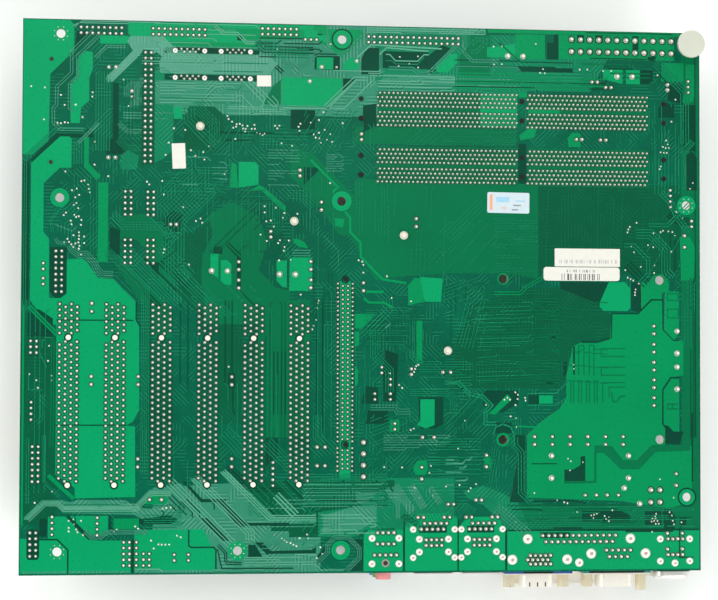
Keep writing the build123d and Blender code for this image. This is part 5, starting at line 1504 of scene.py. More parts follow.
# Bundles of traces by region: tone, number of traces, pitch, width and the points of the path.
BUNDLES = {
    "front left": """
DENSE 2 1 0.45 34,238.6 23.4,228 23.4,218.8 19.9,215.3 19.9,204.5 21.6,202.8
DENSE 2 -1.1 0.45 31,238.6 21.8,229.4 21.8,220 15.4,213.6 15.4,205.8 14,204.4 14,198.4 16.6,195.8
  27,195.8
LINE 3 0.9 0.35 2,120 2,181.5 14.5,193.6 28,193.6
PALE 1 1 0.4 21.6,241 26,243.2 60,243.2
PALE 1 1 0.4 22.6,240.6 24.6,242.4 46,242.4
PALE 3 -0.75 0.3 52,231.8 37.6,217.4
VEIL 3 0.8 0.55 47,234.8 44.5,233 40,233 33.8,226.8 31.4,224.4
DENSE 2 0.9 0.5 45,232.6 36.4,232.6 31.2,227.4
PALE 5 0.8 0.45 57,236.6 66,227.6 76,227.6
LINE 6 1.2 0.5 32,221 32,186
DENSE 3 -1.2 0.6 44,203 52,203
DENSE 3 -0.9 0.5 49,206 49,214 52,219
LINE 4 1.1 0.5 22.6,190 22.6,180
DENSE 4 0.8 0.35 52,217 47.6,217 44.4,213.8 44.4,210
DENSE 3 0.8 0.35 52,209.4 49,209.4 46.4,206.8
DENSE 3 -0.8 0.35 42.6,199 46,195.6 52,195.6
LINE 4 -0.8 0.35 42.6,192 46,188.6 52,188.6
DENSE 2 -0.9 0.6 24,189.5 33,198.5
""",
    "slot side": """
LINE 5 0.8 0.4 36.5,140.5 52.6,124.4 52.6,44
LINE 6 1.25 0.55 42,140 66,116
GAP 2 1.4 0.6 38,139 60,117
GAP 2 2.4 0.7 52,137 66,123
LINE 4 1.1 0.5 38.4,157 44,151.4 60,151.4 66,145.4
LINE 1 1.1 0.7 56,157 61.6,151.4 62,150.2 70,150.2
DENSE 4 0.9 0.4 19.8,143.6 21.5,141 24.5,138.9 27.5,138.9 30.5,135.9 31.8,132.9 34.6,130.2 40,130.2
LINE 2 0.9 0.4 14,150 13.2,155 16.6,159.6 19.6,160.6
DENSE 1 0.9 0.4 14.5,153.2 18,152 22,150.4 24,152.6
DENSE 2 0.9 0.4 14.4,147 15.6,144.9 19.6,144.5
HEAVY 2 1.2 0.8 3,117 15.6,104.4
LINE 1 1 0.5 9.4,99 9.4,102 11,103.6 14.4,103.6
LINE 1 1 0.5 8,97.5 11.4,90.6
LINE 1 1 0.45 3.6,88 3.6,80.8 9.8,80.8
LINE 2 1.1 0.4 8.8,79 8.8,68.4 7,66.6
THIN 2 1.1 0.6 13.4,103 13.4,56
LINE 2 0.9 0.4 10.2,61 10.2,40.6 17,33.8
HEAVY 1 1 1.7 12.4,43.6 23.4,33.4
LINE 2 1 0.45 3,60 3,31
HEAVY 1 1 0.9 1.2,118 1.2,22
GAP 1 1 0.5 15.5,111.4 49,111.4
GAP 1 1 0.5 15.5,65.4 46,65.4
GAP 1 1 0.5 50.2,119.6 50.2,111.6 52,108.6
""",
    "rear left": """
GAP 1 1 1.3 20.8,25.8 30.8,15.9
DENSE 3 0.8 0.5 28,18.6 31,15.8 35.5,15.8 38.5,17.9 56,17.9
GAP 1 1 0.6 8.6,15.6 16.5,15.6 21.2,11 21.2,0.9
GAP 1 1 0.8 49.3,15.4 49.3,0.9
GAP 1 1 0.9 39.4,25.8 39.4,20.4 42,18.6
GAP 1 1 0.6 73.8,19.6 73.8,12.6 74.8,11.8 84.8,11.8 85.8,10.6 85.8,2.2
PALE 1 1 0.5 50.4,2.4 61,2.4 62.4,1.2
PALE 3 -0.8 0.35 3.2,24.6 10.8,31.9 16.8,31.9 19.6,29.4 50,29.4 57,36.2 66,36.2
GAP 1 1 0.5 86.4,11 88.4,2.4 120,2.4
GAP 2 0.9 0.4 86.4,12.6 89.6,9 89.6,5.6 91,4.2 97,4.2
PALE 4 1.35 0.4 64,39 93,10
PALE 4 1.2 0.4 75,41.4 99,17.4 99,14.6
PALE 3 1 0.4 88,44.6 109,23.6 130,23.6
GAP 2 -1.6 0.5 66,35 72,29
GAP 2 1.2 0.4 89.8,46.6 100,36.4 118,36.4
LINE 5 1.5 0.4 86.8,60.6 98,49.4
GAP 3 1.1 0.45 91,46 97.6,39.4
PALE 3 1.5 0.6 111,33.6 120,24.6
DENSE 3 0.8 0.4 126,4.5 131.5,4.5 136,9 136,12 138.5,15 144,15 148.5,10.5 148.5,7 143,1.6
DENSE 2 1.1 0.8 161,37 166,30 166,24
DENSE 4 0.95 0.7 164,38 172,26
DENSE 4 0.95 0.7 171,38 177,28
DENSE 3 1 0.6 180,37 185,30
GAP 1 1 0.6 169.4,24 169.4,0.9
GAP 1 1 0.5 193.75,24 193.75,0.9
GAP 1 1 0.7 215.5,18.2 215.5,0.9
GAP 1 1 0.5 216,18.5 304,18.5
GAP 3 0.9 0.5 168,24.6 172,22.4 175,20.6
LINE 5 -0.95 0.4 191,24.4 192,28.4 196,31.4 202,27.6
GAP 1 1 0.5 295,18.6 295,5.9 301.4,5.9
GAP 1 1 0.5 221,22.8 228,22.8 229,23.2 235,23.2
GAP 1 1 0.5 218,27.8 228,27.8 232,27.4
GAP 1 1 0.5 228,31.6 246,31.6 252,30.4
LINE 3 0.9 0.4 271,27.6 274,23 290,23
LINE 3 1.3 0.45 218,60 218,56 221,52.5 221,35 226,30
DENSE 4 -1.3 0.4 212,30.4 227,17.9
""",
    "processor supply": """
GAP 1 1 0.4 227,48.2 238.6,48.2
THIN 1 1 0.9 256.2,56 256.2,40 242,40
THIN 1 1 0.4 245,75.4 245,85.4 246.3,85.4 246.3,75.4
THIN 1 1 0.4 248.6,75.4 248.6,85.4 249.9,85.4 249.9,75.4
THIN 1 1 0.4 252.2,75.4 252.2,85.4 253.5,85.4 253.5,75.4
THIN 1 1 0.4 255.8,75.4 255.8,85.4 257.1,85.4 257.1,75.4
THIN 1 1 0.4 248.6,88 248.6,101.4 251,101.4 251,88
THIN 1 1 0.4 253.4,88 253.4,101.4 255.6,101.4 255.6,88
THIN 1 1 0.4 270,88 259,88 259,91.6 270,91.6
THIN 1 1 0.4 270,96.4 259,96.4 259,100 270,100
THIN 1 1 0.4 270,84.6 259.6,84.6 259.6,75.6
THIN 1 1 0.4 270,82.6 262.6,82.6 262.6,78
THIN 1 1 0.5 263.6,80.4 264.4,76 266.2,76 267.6,78.4 270,78.6
GAP 1 1 0.45 282.4,122.2 287.4,122.2 287.6,108.6 292.4,103.8 295,103.8
GAP 1 1 0.55 295,87 291,87 287.4,81.6 287.4,66 290.4,62.4 294,61
GAP 1 1 0.5 263.6,104.6 263.9,115.9 276,115.9 282.6,122.4
GAP 1 1 0.8 250,102.9 257,102.9 263,104.6
THIN 2 2.2 0.35 294.6,75 289.6,75 289.6,72.8 294.6,72.8
THIN 1 1 0.4 289.6,125 294.6,125 294.6,122 289.6,122 289.6,125
THIN 1 1 0.4 289.6,118 294.6,118 294.6,114 289.6,114 289.6,118
GAP 1 1 0.35 302.6,242 302.6,60
GAP 1 1 0.6 301,71 301,40
PLANE 2 1.4 0.5 300.4,132 300.4,60
LINE 1 1 0.8 295.6,189 297,191 301,195
LINE 2 0.9 0.5 298,172 298,189 302.6,193.6
""",
    "larger chip and graphics slot": """
HEAVY 1 1 1.1 127,183.4 133.4,177 139.2,171.4 136.8,168.8
HEAVY 1 1 1.1 142.6,160.4 144.8,157.6 144.8,151.4 149.4,146.8 149.6,140.4 159.4,130.4 170,128.8
LINE 1 1 0.5 133,149.4 139.6,142.8 139.6,136
LINE 2 -1.2 0.8 187.6,85 194,85 199,80 205,78.8 209.4,74.4 206.6,71 206.6,66.8 211,66.8
LINE 1 1 0.8 209.6,61 210.6,64.6 214,65.9 217.6,64.6 219,61 219,56
LINE 1 1 0.6 225,79.7 238,79.7 243,84.4
LINE 1 1 0.6 225,74.4 238,74.4 243,78
HEAVY 1 1 0.8 221,65 229,64.6
LINE 3 -1.1 0.4 222,69 222,61
LINE 4 1.1 0.4 154,108 154,96 161,89 161,80
LINE 4 -1.3 0.4 149,107 160,118 160,122
HEAVY 1 1 1.2 152,124.8 160,124.8
HEAVY 1 1 1 151,122 153,120 160,120 164,118
LINE 3 0.9 0.35 166,100 172,96.6 174,93
LINE 4 0.9 0.35 171.6,78.6 188,78.6 190,76.6 190,71 192,69
DENSE 3 -1.1 0.35 154,74.4 166,74.4 167,72.6 172,72.6
LINE 2 0.9 0.4 173,112 173,96 176,93
DENSE 1 1 0.6 163,110.6 160.8,108.6
""",
    "smaller chip": """
LINE 3 -1.3 0.45 87,170 71,154 71,134 90,115
LINE 4 -1.25 0.4 83,172 66.6,155.6 66.6,133 86,113.6
LINE 7 1.35 0.4 62,158.6 80,176.6
LINE 4 -1.6 0.4 62,146.4 76,132.4
GAP 3 -1.6 0.6 62,139 74,127
LINE 4 1.5 0.4 70.8,206 70.8,199.6 76,194 83,187
LINE 5 1.1 0.35 74,205.4 82,197.4 82,191 85,188
LINE 5 1.1 0.35 110,164.4 110,152 112.4,149.6
LINE 4 1.2 0.4 116.6,166 122,166 127,161
LINE 2 1 0.4 116,144 116,141 118,138.6
DENSE 3 -1.2 0.5 119,143 127,143
GAP 2 1.4 0.5 89.6,145 95.4,139.4
GAP 1 1 0.5 96,124.6 104,116.6
GAP 1 1 0.5 89.4,120.6 89.4,84
GAP 1 1 0.5 92.4,120.6 92.4,89
GAP 1 1 0.6 92.8,81.6 92.8,72 94,70
LINE 4 1.2 0.4 128.6,70 128.6,60 132,56
GAP 2 2.6 0.35 130,121 130,64
GAP 4 1.7 0.5 111,98 111,70
LINE 5 1.3 0.4 106,56 120,42
""",
    "front edge": """
PALE 2 -1 0.45 84,243.2 88,239.6 94.4,239.6 98.4,235.6 102,235.6
LINE 4 -1.2 0.5 100,235.6 110,235.6 113,232.6 126,232.6
GAP 3 1.3 0.5 102,234.4 105.6,231 128,231
GAP 2 1.2 0.6 111,224.4 114,221.6
DENSE 2 1.1 0.5 113.6,227 117,224.6 124,224.6 129.6,230.2 142,230.2 153,241.2
PALE 1 1 0.5 134,206.6 142,206.6 154.6,219.2
PALE 2 1.3 0.5 134,206.9 147,219.4 152,219.4
PALE 1 1 0.6 114,206.4 134.6,206.4 147,218.8
PALE 1 1 0.7 147.6,229.4 154,235.4 186,234.2
PALE 1 1 0.6 157.8,231 161,234.2 180,233
DENSE 2 0.9 0.5 158,233 158,223.6 160,222.6
PALE 1 1 0.5 160.6,231.2 162.4,231.2 165,228.4 175,228.4 178,231.4 180,231.4
LINE 1 1 0.4 160.6,228.4 163.4,228.4 165,227 175,227 178,230.2
DENSE 2 -1.2 0.5 162,225.6 173,225.6 176,223.4 182,223.4
PALE 1 1 0.35 162,236 166,240
DENSE 2 1 0.6 180,222.4 194,236.4 194,241
LINE 2 -1.3 0.6 199,237 201.4,239.4 206.4,239.4 207,237.4 202,232.6 199,232.6
DENSE 2 -1 0.5 196.6,240.8 196.6,233 200,229.6 212,229.6
GAP 1 1 0.4 212,237.6 222,229 246,229
GAP 1 1 0.4 254,231.4 280,231.4
GAP 1 1 0.4 262,226.8 274,226.8
LINE 4 1.2 0.5 283,229 296,216 296,193
GAP 1 1 0.35 252,243 292,243
GAP 1 1 0.5 286.6,231 286.6,224 290,220.6
""",
    "right of the labels": """
LINE 2 1.4 0.5 269.6,146 274,146 280,140 280,134 276,130
LINE 4 1.3 0.45 275,150 281,150 287,144 287,134 291,130
GAP 3 1.7 0.5 269.8,137 279,127.8
LINE 2 1.2 0.45 281,155.4 290,155.4 300,165.4
LINE 3 1.2 0.5 286,170 290,166 294,158 299,152
GAP 3 1.3 0.8 289.6,160 294.6,156.6 300,156.6
GAP 2 2.2 0.4 291,152 291,134
LINE 4 1.6 0.35 190,147.4 195,152.4 204,161.4 206.4,163.4
HEAVY 2 1.2 0.4 210,124 222,124 225,127 232,131
""",
}

# Fields of broken traces: tone, two opposite corners, angle in degrees, pitch, width and fill.
WEAVES = """
PALE 19,26.6 52,32.2 0 0.9 0.3 0.6   LINE 19,26.6 52,32.2 0 1.6 0.4 0.5   LINE 54,20 72,31 0 1.1 0.4 0.7
GAP 62,26 86,38 -45 2.2 0.5 0.4   LINE 100,24 130,41 -45 1.3 0.35 0.7   GAP 100,24 130,41 -45 2.9 0.6 0.5
DENSE 98,18 130,33 0 1.7 0.45 0.5   PALE 98,3.6 130,9.4 0 1.1 0.4 0.7   DENSE 106,10.6 130,18 0 1.4 0.4 0.6
LINE 124,30 162,44 0 1 0.4 0.8   DENSE 124,29 160,40 0 1.5 0.45 0.75   GAP 124,29 162,42 0 2.3 0.35 0.6
PALE 132,17 157,28 0 1.3 0.4 0.55   LINE 124,12 134,30 60 1.6 0.4 0.6   LINE 158,20 190,38 -60 1.3 0.4 0.7
DENSE 160,54 190,62 0 1.1 0.4 0.6   LINE 152,42 174,56 45 1.4 0.35 0.6   LINE 180,42 204,60 0 1.1 0.45 0.75
DENSE 188,38 200,50 0 1.8 0.8 0.6   LINE 188,62 208,82 45 1.5 0.35 0.5   LINE 205,30 216,56 80 1.2 0.35 0.7
LINE 216,19.4 302,30 0 1 0.4 0.6   PLANE 216,19.4 302,30 0 1.9 0.4 0.5   LINE 202,84 228,122 2 1.7 0.35 0.6
THIN 204,84 240,126 2 1.3 0.35 0.6   THIN 228,84 262,124 -4 1.9 0.3 0.45
LINE 194,100 206,128 75 1.6 0.35 0.6   LINE 210,132 230,159 1 1.2 0.35 0.75
LINE 180,133 212,158 48 2 0.3 0.4   LINE 147,150 162,174 90 1.4 0.3 0.6   LINE 162,134 188,172 88 2 0.3 0.4
LINE 187,110 204,132 20 1.4 0.35 0.5   LINE 152,100 172,118 0 1.2 0.35 0.5
LINE 176,80 200,98 0 1.2 0.4 0.6   LINE 147,56 152,100 90 1.3 0.35 0.4   LINE 154,56 176,70 20 1.5 0.35 0.5
PLANE 188,100 200,128 90 2.1 0.4 0.5   GAP 67,44 76.6,120 90 3.1 0.35 0.5   GAP 87,44 97,120 90 2.6 0.35 0.5
PLANE 107,44 117,120 90 1.7 0.45 0.7   LINE 107,60 117,118 90 2.7 0.35 0.5
PLANE 128,60 137.4,134 90 1.7 0.4 0.6   LINE 128,60 137.4,160 90 2.7 0.35 0.5
PLANE 53,44 57,120 90 1.2 0.4 0.8   LINE 68,113 104,127 -45 2.4 0.4 0.4
PLANE 78,142 106,168 45 2.2 0.4 0.4   LINE 76,140 106,170 90 2.6 0.3 0.35
LINE 96,160 110,170 0 1.2 0.35 0.5   LINE 62,168 92,186 0 1.2 0.4 0.65   DENSE 70,170 90,185 0 2.3 0.5 0.4
DENSE 108,170 122,189 0 1.3 0.4 0.5   LINE 104,182 126,196 0 1.3 0.4 0.6
LINE 84,185 100,198 60 1.5 0.35 0.6   GAP 86,184 128,200 0 3.1 0.6 0.35
DENSE 134,178 142,186 0 1.1 0.4 0.8   LINE 124,186 148,206 60 1.6 0.35 0.5
LINE 116,146 138,180 90 2.3 0.35 0.4   PALE 60,207.4 96,217.4 0 1.3 0.3 0.55
LINE 60,207.4 96,217.4 0 1.9 0.35 0.5   PALE 52,221.4 108,229.4 0 1.3 0.3 0.5
LINE 52,221.4 108,229.4 0 1.9 0.4 0.55   PALE 58,233 104,243 0 2.2 0.35 0.4
PALE 96,206 113,218 -45 1.5 0.4 0.6   DENSE 88,206 112,218 0 2.3 0.4 0.4
PALE 90,203 116,206.6 0 0.9 0.35 0.8   GAP 104,224 132,240 0 2.1 0.5 0.4
PALE 112,221 158,223.6 0 1 0.4 0.7   PALE 152,240.8 206,243.4 0 0.9 0.4 0.7
PALE 157,215 192,222 0 1.2 0.4 0.6   LINE 157,215 192,222 0 1.7 0.4 0.6
GAP 192,216 262,230 0 2.3 0.45 0.55   HEAVY 192,216 262,230 0 1.7 0.5 0.5
DENSE 192,217 222,229 0 2.6 0.45 0.5   THIN 250,216 282,231 0 2 0.5 0.4
LINE 156,191 190,198.6 40 1.9 0.35 0.5   LINE 186,191 220,198.6 0 1.1 0.35 0.7
LINE 140,188 156,200 90 1.5 0.35 0.5   LINE 42,188 52,220 0 1.5 0.35 0.5   DENSE 58,200 66,224 0 1.3 0.4 0.6
LINE 28,140 33,176 90 1.2 0.35 0.6   LINE 36,176 52,184 60 1.6 0.4 0.5   LINE 22,140 28,176 90 1.6 0.3 0.4
LINE 4,36 14,116 90 2.2 0.35 0.4   LINE 280,130 296,152 60 2 0.35 0.5   LINE 282,170 296,212 90 1.7 0.4 0.6
LINE 297,100 303,131 90 1.5 0.4 0.5   THIN 231,133 296,173 88 3.4 0.3 0.3
LINE 40,142 66,152 -45 1.8 0.4 0.5   LINE 118,96 138,121 90 2.1 0.35 0.4   LINE 62,38 76,60 90 1.9 0.35 0.5
LINE 86,60 98,84 90 2.3 0.35 0.5
"""


def rows(table: str) -> list[list[str]]:
    """Splits a table into rows; a row runs from one tone's name to the next.

    Args:
        table: Words in the table's own order.

    Returns:
        The words of each row, with the tone's name first.
    """
    found: list[list[str]] = []
    for word in table.split():
        if word in Tone.__members__:
            found.append([])
        found[-1].append(word)
    return found


@dataclass
class CopperAreas:
    """Pours, planes and clearances of the solder face, each a thin film."""

    base: float = 0.01
    top: float = 0.126

    def levels(self, outlines: list[list[Point2]]) -> list[int]:
        """Stacks the areas: each lies one level above the earlier ones that it covers.

        Args:
            outlines: The areas' corners in order.

        Returns:
            Each area's level.
        """
        found: list[int] = []
        for k, area in enumerate(outlines):
            under = [found[n] for n in range(k) if share_ground(outlines[n], area)]
            found.append(max(under, default=-1) + 1)
        return found

    def build(self, board: Board) -> list[bpy.types.Object]:
        """Builds one object per tone; where areas overlap, the later one lies higher.

        Args:
            board: The board that carries them.

        Returns:
            The new objects.
        """
        areas = rows(" ".join(AREAS.values()))
        outlines = [outline(" ".join(words[1:])) for words in areas]
        levels = self.levels(outlines)
        step = (self.top - self.base) / max(levels)
        LOG.info("copper areas: %d in %d levels", len(levels), max(levels) + 1)
        made = []
        for tone in Tone:
            film = Shape("copper_" + tone.name.lower(), tone.value)
            for words, corners, level in zip(areas, outlines, levels):
                if words[0] == tone.name:
                    film.sheet(corners, self.base + step * level)
            if film.faces:
                made.append(film.build(board))
        return made


@dataclass(frozen=True)
class Bundle:
    """Traces side by side along one path; later ones lie to the left of its direction."""

    tone: Tone
    count: int
    pitch: float
    width: float
    path: str

    @classmethod
    def from_row(cls, row: list[str]) -> "Bundle":
        """Reads a bundle from its row's words."""
        return cls(Tone[row[0]], int(row[1]), float(row[2]), float(row[3]), " ".join(row[4:]))

    def lines(self) -> list[list[Point2]]:
        """Returns the centre line of each trace."""
        spine = outline(self.path)
        return [shifted(spine, self.pitch * k) for k in range(self.count)]


@dataclass(frozen=True)
class Weave:
    """An area of parallel traces that start, stop and step aside, as a router leaves them."""

    tone: Tone
    low: Point2
    high: Point2
    angle: float
    pitch: float
    width: float
    fill: float
    seed: int
    shortest: float = 1.6
    side_step: float = 0.7  # share of the pitch by which a trace steps aside
    gap: tuple[float, float] = (0.4, 1.4)

    @classmethod
    def from_row(cls, row: list[str], seed: int) -> "Weave":
        """Reads a field of traces from its row's words."""
        return cls(Tone[row[0]], *outline(" ".join(row[1:3])), *map(float, row[3:]), seed)

    def span(self, across: float, c: float, s: float, hx: float, hy: float) -> Point2:
        """Finds where a line of the field enters and leaves its box.

        Args:
            across: The line's distance from the middle.
            c: Cosine of the field's angle.
            s: Its sine.
            hx: Half the box's width.
            hy: Half its length.

        Returns:
            The two ends, along the line.
        """
        spans = []
        for direction, offset, half in ((c, -s * across, hx), (s, c * across, hy)):
            if abs(direction) < 1e-6:
                continue
            a, b = (-half - offset) / direction, (half - offset) / direction
            spans.append((min(a, b), max(a, b)))
        return max(a for a, _ in spans), min(b for _, b in spans)

    def lines(self) -> list[list[Point2]]:
        """Draws the broken lines of the area.

        Returns:
            The centre line of each trace.
        """
        dice = random.Random(self.seed * 7919 + int(self.low[0] * 31 + self.low[1] * 17))
        c, s = math.cos(math.radians(self.angle)), math.sin(math.radians(self.angle))
        mx, my = (self.low[0] + self.high[0]) / 2, (self.low[1] + self.high[1]) / 2
        hx, hy = (self.high[0] - self.low[0]) / 2, (self.high[1] - self.low[1]) / 2
        reach = abs(hx * s) + abs(hy * c)
        found = []
        across = -reach + self.pitch * dice.uniform(0.3, 0.7)
        while across < reach:
            start, end = self.span(across, c, s, hx, hy)
            at = start
            while at < end - 1.0:
                length = dice.uniform(0.25, 1.0) * max(4.0, end - start)
                stop = min(end, at + length)
                if dice.random() < self.fill and stop - at > self.shortest:
                    step = dice.choice((0.0, 0.0, self.pitch, -self.pitch)) * self.side_step
                    points = [(at, across), (stop - abs(step), across)]
                    if step:
                        points.append((stop, across + step))
                    line = [(mx + u * c - v * s, my + u * s + v * c) for u, v in points]
                    if clear_of_holes(line):
                        found.append(line)
                at = stop + dice.uniform(*self.gap)
            across += self.pitch * dice.uniform(0.85, 1.15)
        return found


HOLE_MARGIN = 1.4  # least distance from a trace's centre line to a hole's wall


def clear_of_holes(line: list[Point2]) -> bool:
    """Tells whether a trace keeps away from the board's through holes.

    Args:
        line: The trace's centre line.

    Returns:
        True where it does.
    """
    for (ax, ay), (bx, by) in zip(line, line[1:]):
        length = max(1e-6, math.hypot(bx - ax, by - ay))
        for x, y, r in THROUGH_HOLES:
            t = max(0.0, min(1.0, ((x - ax) * (bx - ax) + (y - ay) * (by - ay)) / length**2))
            if math.hypot(ax + t * (bx - ax) - x, ay + t * (by - ay) - y) < r + HOLE_MARGIN:
                return False
    return True


@dataclass
class Traces:
    """Every trace that shows through the mask."""

    height: float = 0.132
    order_step: float = 0.002  # height between one tone's traces and the next
    line_step: float = 0.0002
    line_levels: int = 7
    first_seed: int = 2

    def build(self, board: Board) -> list[bpy.types.Object]:
        """Builds one object of ribbons per tone.

        Args:
            board: The board that carries them.

        Returns:
            The new objects.
        """
        sources = [Weave.from_row(row, seed) for seed, row in enumerate(rows(WEAVES), self.first_seed)]
        sources += [Bundle.from_row(row) for row in rows(" ".join(BUNDLES.values()))]
        made = []
        upwards = (Tone.PLANE, Tone.THIN, Tone.GAP, Tone.LINE, Tone.HEAVY, Tone.DENSE, Tone.PALE)
        for order, tone in enumerate(upwards):
            strips = Shape("traces_" + tone.name.lower(), tone.value)
            for source in sources:
                if source.tone is tone:
                    for k, line in enumerate(source.lines()):
                        lift = self.line_step * (k % self.line_levels)
                        strips.ribbon(line, source.width, self.height + self.order_step * order + lift)
            if strips.faces:
                made.append(strips.build(board))
        return made


@dataclass
class HolePads:
    """Copper rings and stitching dots round the mounting holes."""

    lift: float = 0.149
    hole_r: float = 2.12
    dot_reach: float = 3.05

    def build(self, board: Board) -> list[bpy.types.Object]:
        """Builds the rings, their outlines and the dots.

        Args:
            board: The board that carries them.

        Returns:
            The rings and the dots.
        """
        rings = Shape("mounting_hole_rings", MASK_LIGHT, MASK_GAP, MASK_CLEAR)
        spots = [(16.51, 165.1, 4.1, False), (140.97, 165.1, 4.4, False), (298.45, 165.1, 4.3, False)]
        spots += [(298.45, 33.02, 3.6, True), (140.97, 237.49, 4.1, True)]
        spots += [(140.97, 10.16, 4.2, False), (95.25, 10.16, 4.2, False)]
        spots += [(214.0, 131.0, 2.7, False), (214.0, 59.0, 3.1, False)]
        spots += [(286.0, 131.0, 2.6, False), (286.0, 59.0, 2.5, False)]
        for x, y, r, dark in spots:
            if dark:
                rings.ring(x, y, r, r + 0.7, self.lift - 0.001, 1)
            rings.ring(x, y, self.hole_r, r, self.lift, 0 if r > 3.5 else 2)
            if r > 4.0:
                rings.ring(x, y, r * 0.72, r * 0.78, self.lift + 0.001, 2)
        pegs = [(FIRST_SLOT_X + SLOT_PITCH * k, y, 1.28) for k in range(SLOTS) for y in (39.2, 103.8)]
        pegs += [(142.7, y, 1.25) for y in (56.8, 130.2)]
        for x, y, r in pegs:
            rings.ring(x, y, r, r + 0.6, self.lift, 1)
        dots = Shape("mounting_hole_dots", SOLDER)
        for x, y in ((16.51, 237.49), (16.51, 10.16), (298.45, 165.1), (95.25, 10.16)):
            for k in range(8):
                a = math.radians(22.5 + 45 * k)
                spot = (x + self.dot_reach * math.cos(a), y + self.dot_reach * math.sin(a), self.lift)
                dots.lathe(spot, [(0.24, 0.0), (0.18, 0.05), (0, 0.06)], 8)
        return [rings.build(board), dots.build(board, 40)]


